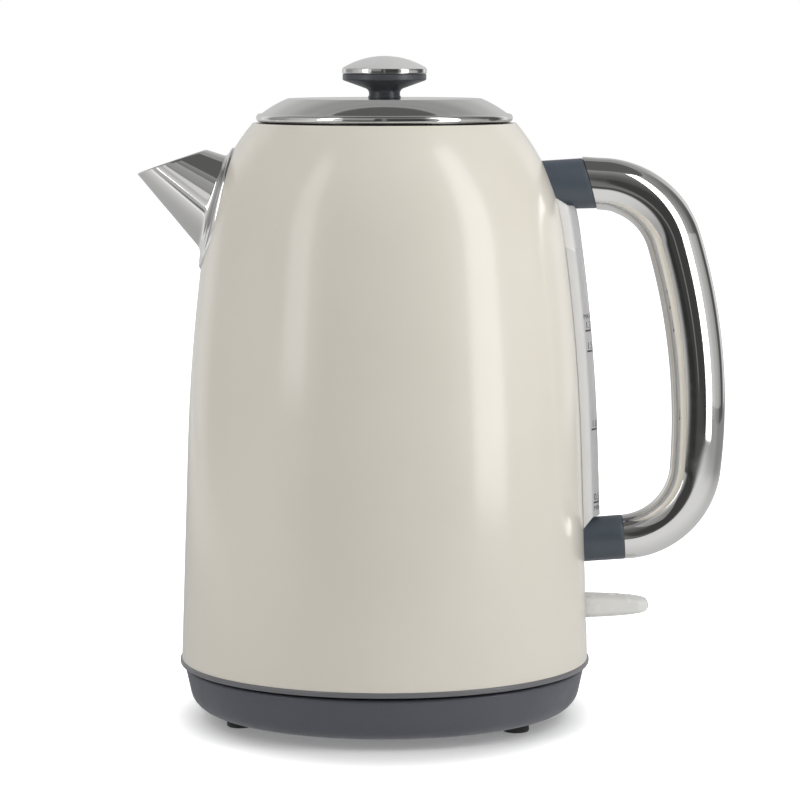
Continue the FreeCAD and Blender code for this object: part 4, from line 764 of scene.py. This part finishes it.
def strip_points(inset, back, end_inset, rows=90):
    """Rows of a strip between the jug's side and the gauge's face.

    A rounded rectangle gives the distance across and the share of the way from the back to the
    face, and it is carried up between two slanted ends. The ends close on their middles.
    """
    half = gauge_half_width - inset
    section = rounded_outline([
        (-half, 0, gauge_back_round),
        (half, 0, gauge_back_round),
        (half, gauge_proud, gauge_edge_round),
        (-half, gauge_proud, gauge_edge_round),
    ], gauge_corner_steps)
    across = np.linspace(-1, 1, 14)[1:-1, None] * [half - gauge_edge_round, 0]
    face_start = len(section) - gauge_corner_steps
    section = np.concatenate([section[:face_start], across[::-1] + [0, gauge_proud], section[face_start:]])
    deep, share = section[None, :, 0], section[None, :, 1] / gauge_proud
    proud = section[None, :, 1]
    low = gauge_low + end_inset + gauge_low_slope * (jug_radius(gauge_low) + proud - waist[0])
    top = gauge_top - end_inset - gauge_top_slope * (jug_radius(gauge_top) + proud - shoulder[0])
    height = low + (top - low) * np.linspace(0, 1, rows)[:, None]
    side = np.sqrt((jug_radius(height) + back) ** 2 - deep ** 2)
    reach = side + share * (gauge_face(deep, height, inset) - side)
    points = np.stack([reach, deep + 0 * height, height], axis=-1)
    return np.concatenate([middle_row(points[0]), points, middle_row(points[-1])])


def hollow_out(piece, points):
    """Add an inner wall to a closed piece, with its faces turned to the hollow."""
    wall = swept_piece("inner_wall", points)
    work = bmesh.new()
    work.from_mesh(wall.data)
    bmesh.ops.reverse_faces(work, faces=work.faces)
    work.from_mesh(piece.data)
    work.to_mesh(piece.data)
    work.free()
    bpy.data.meshes.remove(wall.data)


clear_plastic = finish_material("clear_plastic", (0.86, 0.87, 0.86), (0.10, 0.20),
                                grain=(900, 2, 0.000006), wear=(160, 3))
feed(surface(clear_plastic), {"Transmission Weight": 0.25, "IOR": 1.35})
frosted_plastic = finish_material("frosted_plastic", (0.92, 0.925, 0.92), (0.48, 0.62),
                                  grain=(2200, 2, 0.00002), wear=(200, 3))
feed(surface(frosted_plastic), {"Transmission Weight": 0.1})


def paint_shade_outwards(material, stops):
    """Paint shade into a plastic's tone by how far it stands out between the jug's side and the strip's
    edge.
    """
    outwards = add_node(material.node_tree, "Attribute", {}, attribute_name="outwards")["Fac"]
    feed(surface(material), {"Base Color": add_ramp(outwards, stops)})


# Painted shade: the clear strip darkens in the gap by the jug's side, and both strips darken towards the
# edge of the face.
paint_shade_outwards(clear_plastic,
               [(0.0, 0.75), (0.06, 0.75), (0.10, 1.0), (0.80, 1.0), (0.95, 0.85), (1.0, 0.62)])
paint_shade_outwards(frosted_plastic, [(0.0, 0.95), (0.80, 0.95), (0.95, 0.75), (1.0, 0.55)])

gauge = swept_piece("gauge_strip", strip_points(0, gauge_gap, 0))
hollow_out(gauge, strip_points(gauge_wall, gauge_wall, channel_end))
dress(gauge, "jug", "gauge_plastic", clear_plastic, "water_gauge")
second_finish(gauge, frosted_plastic, of_faces(gauge, "center")[:, 2] > frost_height)
corner_reach, corner_deep, corner_height = values_of(gauge.data.vertices, "co").T
jug_side = np.sqrt(jug_radius(corner_height) ** 2 - corner_deep ** 2)
outward_share = (corner_reach - jug_side) / (gauge_face(gauge_half_width, corner_height) - jug_side)
gauge.data.attributes.new("outwards", "FLOAT", "POINT").data.foreach_set("value", outward_share)

scale_ink = finish_material("grey_scale_ink", (0.07, 0.07, 0.074), (0.5, 0.7), wear=(1500, 2))
feed(surface(scale_ink), {"Specular IOR Level": 0.05})
mark_lift = 0.00004
mark_start, mark_end = -0.0080, -0.0034
tick_heights = np.array([0.1480, 0.1402, 0.1105, 0.0826])
tick_half_height = 0.00035
number_size, word_size = 0.0036, 0.0026
number_gap, top_word_gap, low_word_gap = 0.0009, 0.0045, 0.0030


def printed(text, size, deep, height):
    """Flat letters laid on the gauge's face: across follows the face, and depth lifts off it."""
    writing = bpy.data.curves.new("writing", "FONT")
    writing.body = text
    writing.size = size
    writing.extrude = mark_lift / 2
    writing.align_x = "CENTER"
    holder = bpy.data.objects.new("writing", writing)
    flat = bpy.data.meshes.new_from_object(holder)
    across, up, lift = values_of(flat.vertices, "co").T
    faces = [list(face.vertices) for face in flat.polygons]
    for block, blocks in ((holder, bpy.data.objects), (writing, bpy.data.curves), (flat, bpy.data.meshes)):
        blocks.remove(block)
    reach = gauge_face(deep + across, height + up) + mark_lift + lift
    return np.stack([reach, deep + across, height + up], axis=-1), faces


def tick(height, columns=9):
    """A short printed line: a thin square section carried across the face."""
    deep = np.linspace(mark_start, mark_end, columns)[:, None]
    up = height + np.array([-1, 1, 1, -1]) * tick_half_height
    reach = gauge_face(deep, up) + np.array([0.2, 0.2, 1, 1]) * mark_lift
    points = np.stack([reach, deep + 0 * up, up + 0 * deep], axis=-1)
    ends = [list(range(4)), list(range(4 * columns - 4, 4 * columns))]
    return points.reshape(-1, 3), [*grid_faces(columns, 4, False, True).tolist(), *ends]


mark_middle = (mark_start + mark_end) / 2
marks = [tick(height) for height in tick_heights]
marks += [printed(number, number_size, mark_middle, height + number_gap)
          for number, height in zip(("1.7", "1.5", "1.0", "0.5"), tick_heights)]
marks += [printed("MAX", word_size, mark_middle, tick_heights[0] + top_word_gap),
          printed("MIN", word_size, mark_middle, tick_heights[-1] - low_word_gap)]
mark_starts = np.cumsum([0] + [len(points) for points, _ in marks])
mark_faces = [[corner + start for corner in face] for (_, faces), start in zip(marks, mark_starts.tolist())
              for face in faces]
scale_marks = new_piece("gauge_scale", np.concatenate([points for points, _ in marks]), mark_faces)
dress(scale_marks, "jug", "gauge_plastic", scale_ink)


# Switch lever: a paddle of off-white plastic that narrows to a rounded nose and passes through
# the jug's window to its pivot pin.
lever_root, lever_tip = 0.0671, 0.1010
lever_side = np.array([[lever_root, 0.0045], [0.085, 0.00425], [0.095, 0.0039], [lever_tip, 0.0020]])
lever_height = 0.0420
lever_tip_lift = 0.0003
lever_root_width, lever_tip_width = 0.0075, 0.0065
lever_nose_round, lever_corner_round, lever_tail_round = 0.0019, 0.0050, 0.0012
lever_turn = full_turn(96)


def cubic_curve(corners, count):
    """Points of a cubic curve through its end corners, drawn towards the two between."""
    share = np.linspace(0, 1, count)[:, None]
    rest = 1 - share
    return np.hstack([rest ** 3, 3 * share * rest ** 2, 3 * share ** 2 * rest, share ** 3]) @ corners


def ease_off(place, end, rounding):
    """How much a side draws in near an end that is rounded: the rounding less the circle's half chord."""
    past = np.clip(place - (end - rounding), 0, rounding)
    return rounding - np.sqrt(rounding ** 2 - past ** 2)


def squared(angle, power=0.5):
    """Cosine with its flanks filled out, which turns a circle into a rounded square."""
    return np.sign(np.cos(angle)) * np.abs(np.cos(angle)) ** power


lever_line = cubic_curve(lever_side, 80)
nose_turn = np.linspace(0, np.pi / 2, 24)[1:, None]
lever_places = np.unique(np.concatenate([
    lever_line[:, 0], (lever_tip - lever_nose_round * (1 - np.sin(nose_turn[:, 0])))]))
lever_share = (lever_places - lever_root) / (lever_tip - lever_root)
tail_off = ease_off(lever_root + lever_tip - lever_places, lever_tip, lever_tail_round)
lever_half_height = (np.interp(lever_places, *lever_line.T) - tail_off
                     - ease_off(lever_places, lever_tip, lever_nose_round))
lever_half_width = (lever_root_width + (lever_tip_width - lever_root_width) * lever_share
                    - ease_off(lever_places, lever_tip, lever_corner_round))
lever_points = np.stack([
    lever_places[:, None] + 0 * lever_turn,
    lever_half_width[:, None] * squared(lever_turn - np.pi / 2),
    lever_height + lever_tip_lift * lever_share[:, None] + lever_half_height[:, None] * squared(lever_turn),
], axis=-1)
lever_points = np.concatenate([middle_row(lever_points[0]), lever_points, middle_row(lever_points[-1])])
lever_plastic = finish_material("off_white_plastic", (0.83, 0.83, 0.80), (0.22, 0.30),
                                grain=(1500, 2, 0.000002), wear=(130, 3))
lever = swept_piece("switch_paddle", lever_points)
dress(lever, "switch", "lever_plastic", lever_plastic, "switch_lever")


# Lid: a spun cover of polished metal with a rolled bright rim, a sloping side and a flat crown,
# over a black plastic plug that carries the seal.
lid_height = 0.2265
rim_inner, rim_outer, rim_top, rim_round = 0.0452, 0.0484, 0.2296, 0.0014
lid_crown_radius, crown_height, crown_underside = 0.0365, 0.2353, 0.2344
knob_hole = 0.0017
lid_shoulder = np.array([0.0464, rim_top])
lid_crown = np.array([lid_crown_radius, crown_height])
slope_bow = 0.043
slope_chord = lid_crown - lid_shoulder
slope_side = unit(np.array([-slope_chord[1], slope_chord[0]]))
slope_depth = math.sqrt(slope_bow ** 2 - slope_chord @ slope_chord / 4)
slope_centre = (lid_shoulder + lid_crown) / 2 + slope_side * slope_depth
slope_angles = [math.atan2(*(end - slope_centre)[::-1]) for end in (lid_shoulder, lid_crown)]
slope_turn = np.linspace(*slope_angles, 26)[1:-2, None]
slope = slope_centre + slope_bow * np.hstack([np.cos(slope_turn), np.sin(slope_turn)])
lid_cover = turned_piece("polished_lid", rounded_outline([
    (rim_inner, lid_height, 0.0003),
    (rim_outer, lid_height, rim_round),
    (rim_outer, rim_top, rim_round),
    (*lid_shoulder, 0.0003),
    *np.hstack([slope, 0 * slope[:, :1]]),
    (*lid_crown, 0.0008),
    (knob_hole, crown_height, 0),
    (knob_hole, crown_underside, 0),
    (lid_crown_radius, crown_underside, 0),
    (rim_inner, 0.2287, 0),
]), turns=256)
dress(lid_cover, "lid", "polished_metal", polished, "lid_cover")
repaint(black_plastic, "lid_plug")


# Lid knob: a dark satin stem that flares into a dish, capped by a button with a silvered satin
# dome and a polished edge.
knob_plastic = finish_material("dark_satin_plastic", (0.080, 0.086, 0.098), (0.3, 0.42),
                               grain=(2200, 2, 0.00002), wear=(140, 3))
collar_radius, collar_top = 0.00615, 0.2363
stem_radius, stem_top = 0.00585, 0.2386
dish_radius = 0.0158
knob_seat = 0.2445
knob_stem = turned_piece("knob_stem_dish", rounded_outline([
    (knob_hole, crown_height, 0),
    (collar_radius, crown_height, 0.0002),
    (collar_radius, collar_top, 0.00015),
    (stem_radius, collar_top, 0),
    (stem_radius, stem_top, 0.0020),
    (0.0154, 0.24205, 0.0005),
    (dish_radius, 0.24235, 0.0005),
    (dish_radius, knob_seat, 0.0003),
    (knob_hole, knob_seat, 0),
]), turns=120)
dress(knob_stem, "lid", "knob_plastic", knob_plastic, "knob_stem")

silvered = finish_material("silvered_satin", (0.70, 0.70, 0.695), (0.34, 0.44), 0.25,
                           grain=(1800, 2, 0.000006), wear=(300, 3))
cap_radius, cap_edge, cap_top = 0.0160, 0.2466, 0.2512
cap_gap = 0.0001
dome_reach = 0.97
dome_radius = (cap_radius ** 2 + (cap_top - cap_edge) ** 2) / (2 * (cap_top - cap_edge))
dome_angle = np.linspace(math.asin(cap_radius / dome_radius) * dome_reach, 0, 30)
dome_height = cap_top - dome_radius * (1 - np.cos(dome_angle))
dome = np.stack([dome_radius * np.sin(dome_angle), dome_height], axis=-1)
cap_foot = rounded_outline([
    (0, knob_seat + cap_gap, 0),
    (cap_radius, knob_seat + cap_gap, 0.0005),
    (cap_radius, cap_edge - cap_gap, 0.0002),
    (0, cap_edge - cap_gap, 0),
])
knob_cap = turned_piece("knob_button", np.concatenate([cap_foot[:-1], dome]), closed=False, turns=160)
dress(knob_cap, "lid", "polished_metal", polished, "knob_cap")
second_finish(knob_cap, silvered, of_faces(knob_cap, "center")[:, 2] > cap_edge)


# Studio: a pale floor that runs out of sight, white surroundings, a tall softbox on each side
# and a darker room round the camera, which the polished metal shows as grey bands.
floor_mesh = bpy.data.meshes.new("studio_floor")
floor_mesh.from_pydata([(-0.9, -1.0, 0), (0.9, -1.0, 0), (0.9, 4.0, 0), (-0.9, 4.0, 0)], [], [(0, 1, 2, 3)])
floor = add_object("studio_floor", floor_mesh)
floor_material = finish_material("white_sweep", (0.85, 0.85, 0.85), 0.6)
floor_mesh.materials.append(floor_material)
floor_tree = floor_material.node_tree


def shader_math(operation, first, *others):
    """A sum in a shader, of a socket and of other sockets or plain numbers."""
    return add_node(first.id_data, "Math", dict(enumerate((first, *others))), operation=operation)["Value"]


def seen_straight(tree):
    """One for the camera, also through clear plastic, and nought for everything else."""
    ray = add_node(tree, "LightPath", {})
    return shader_math("MAXIMUM", ray["Is Camera Ray"], ray["Is Transmission Ray"])


# The floor glows white to the camera, and its glow drops in a painted shadow under the base that is longer
# than it is wide; the lamps' real shadow shows in its diffuse part.
shadow_stretch = (1.15, 0.87, 1.0)
shadow_inner, shadow_outer, shadow_tone = 0.070, 0.112, 0.20
floor_place = add_node(floor_tree, "TexCoord", {})["Object"]
shadow_place = add_node(floor_tree, "VectorMath", {0: floor_place, 1: shadow_stretch}, operation="MULTIPLY")
shadow_reach = add_node(floor_tree, "VectorMath", {0: shadow_place["Vector"]}, operation="LENGTH")
glow_with_painted_shadow = add_slope(shadow_reach["Value"], shadow_inner, shadow_outer, shadow_tone, 1.0, "SMOOTHSTEP")
feed(surface(floor_material), {
    "Specular IOR Level": 0.1,
    "Emission Color": (1, 1, 1, 1),
    "Emission Strength": shader_math("MULTIPLY", glow_with_painted_shadow, seen_straight(floor_tree)),
})
floor_axes = add_node(floor_tree, "SeparateXYZ", {0: floor_place})


def floor_slope(axis, first, last, low, high):
    """Brightness that eases from low to high between two places along an axis of the floor."""
    return add_slope(floor_axes[axis], first, last, low, high, "SMOOTHSTEP")


# The polished metal mirrors instead a floor that glows with painted light: a left and a right sheet, a dark
# line on the left, and painted shade on the right from just before the kettle to behind it.
left_share = floor_slope("X", -0.15, 0.08, 1.0, 0.0)
left_reach = floor_slope("X", -0.60, -0.30, 0.80, 0.47)
left_edge = shader_math("COMPARE", floor_axes["X"], -0.76, 0.03)
left_sheet = shader_math("MULTIPLY_ADD", left_edge, -0.55, left_reach)
left_front = floor_slope("Y", -0.70, -0.45, 0.08, 1.0)
left_light = shader_math("MULTIPLY", left_share, shader_math("MULTIPLY", left_sheet, left_front))
right_share = floor_slope("X", -0.15, 0.08, 0.0, 1.0)
right_reach = floor_slope("X", 0.22, 0.60, 0.85, 0.41)
right_front = floor_slope("Y", -0.62, -0.42, 0.10, 1.0)
# Painted shade in the mirrored floor's glow, from just before the kettle backwards.
right_painted_shade = floor_slope("Y", -0.12, 0.05, 1.0, 0.75)
right_sheet = shader_math("MULTIPLY", right_reach, shader_math("MULTIPLY", right_front, right_painted_shade))
painted_mirror_light = shader_math("MULTIPLY_ADD", right_share, right_sheet, left_light)
floor_choice = add_node(floor_tree, "MixShader", {
    0: add_node(floor_tree, "LightPath", {})["Is Glossy Ray"],
    1: surface(floor_material).outputs["BSDF"],
    2: add_node(floor_tree, "Emission", {"Strength": painted_mirror_light})["Emission"],
})
feed(floor_tree.nodes["Material Output"], {"Surface": floor_choice["Shader"]})

# The room's walls follow the bearing from the camera, in degrees, and give way to its upper part.
world = bpy.data.worlds.new("studio_surroundings")
bpy.context.scene.world = world
world.use_nodes = True
world_tree = world.node_tree
direction = add_node(world_tree, "TexCoord", {})["Generated"]
parts = add_node(world_tree, "SeparateXYZ", {0: direction})
bearing = shader_math("ARCTAN2", parts["X"], shader_math("MULTIPLY", parts["Y"], -1.0))
bearing_share = shader_math("MULTIPLY_ADD", bearing, 0.5 / math.pi, 0.5)
front_wall = [(0, 0.22), (1.5, 0.22), (3, 0.06), (34, 0.06)]
rear_wall = [(140, 0.90), (151, 0.69), (180, 0.60)]
side_angles = (49, 65, 81, 90, 103, 122)
left_wall = [*front_wall, *zip(side_angles, (0.54, 0.50, 0.32, 0.28, 0.10, 0.08)), *rear_wall]
right_wall = [*front_wall, *zip(side_angles, (0.50, 0.50, 0.32, 0.28, 0.12, 0.10)), *rear_wall]
walls = add_ramp(bearing_share, [
    *((0.5 - angle / 360, brightness) for angle, brightness in reversed(left_wall)),
    *((0.5 + angle / 360, brightness) for angle, brightness in right_wall),
], "EASE")
upper_stops = [(0.70, 0.26), (0.80, 0.31), (0.85, 0.33), (0.865, 0.40), (0.878, 0.13)]
rise_stops = [(0.30, 0.0), (0.55, 0.35), (0.78, 0.78), (0.84, 0.90), (0.90, 1.0)]
upper_room, rise = (add_ramp(parts["Z"], stops, "EASE") for stops in (upper_stops, rise_stops))
room = add_node(world_tree, "Mix", {"Factor": rise, "A": walls, "B": upper_room}, data_type="FLOAT")
brightness = shader_math("MAXIMUM", room["Result"], seen_straight(world_tree))
feed(world_tree.nodes["Background"], {"Color": (1, 1, 1, 1), "Strength": brightness})


def studio_lamp(name, place, size, glow, facing=(0, 0), lights=True, mirrors=True):
    """An upright lamp that faces a point on the floor; its power is its glow times pi times its area."""
    lamp = bpy.data.lights.new(name, "AREA")
    lamp.shape = "RECTANGLE"
    lamp.size, lamp.size_y = size
    lamp.energy = glow * math.pi * size[0] * size[1]
    holder = add_object(name, lamp)
    holder.location = place
    holder.rotation_euler = (math.pi / 2, 0, math.atan2(place[0] - facing[0], facing[1] - place[1]))
    holder.visible_diffuse = lights
    holder.visible_glossy = mirrors
    return holder


# The softboxes and the fills light the kettle. The cards only show in its reflections.
studio_lamp("right_strip", (0.285, -0.185, 0.3675), (0.115, 0.605), 3.2)
studio_lamp("left_strip", (-0.84, -0.63, 0.82), (0.27, 1.36), 2.0)
for side, glow in ((-1, 1.35), (1, 1.0)):
    studio_lamp("low_fill", (0.80 * side, -0.45, 0.14), (0.8, 0.26), glow, mirrors=False)
studio_lamp("front_card", (-0.22, -0.50, 0.49), (0.30, 0.52), 0.25, lights=False)
studio_lamp("spout_card", (-0.245, -0.263, 0.234), (0.10, 0.174), 0.5, (-0.075, -0.016), lights=False)
studio_lamp("handle_card", (0.366, -0.043, 0.17), (0.255, 0.16), 0.25, (0.12, 0), lights=False)
studio_lamp("left_card", (-0.6, 0.05, 0.35), (0.9, 0.7), 0.25, (0, 0.05), lights=False)
overhead = studio_lamp("overhead_fill", (0, 0, 1.5), (2.0, 2.0), 1.0, mirrors=False)
overhead.rotation_euler = (0, 0, 0)

camera_data = bpy.data.cameras.new("photo_camera")
camera_data.lens = 150.285
camera_data.sensor_width = 36
camera = add_object("photo_camera", camera_data)
camera.location = (0.005853, -1.26419, 0.25581)
camera.rotation_euler = (math.radians(83.9095), 0, 0)
bpy.context.scene.camera = camera
bpy.context.scene.view_settings.view_transform = "Standard"
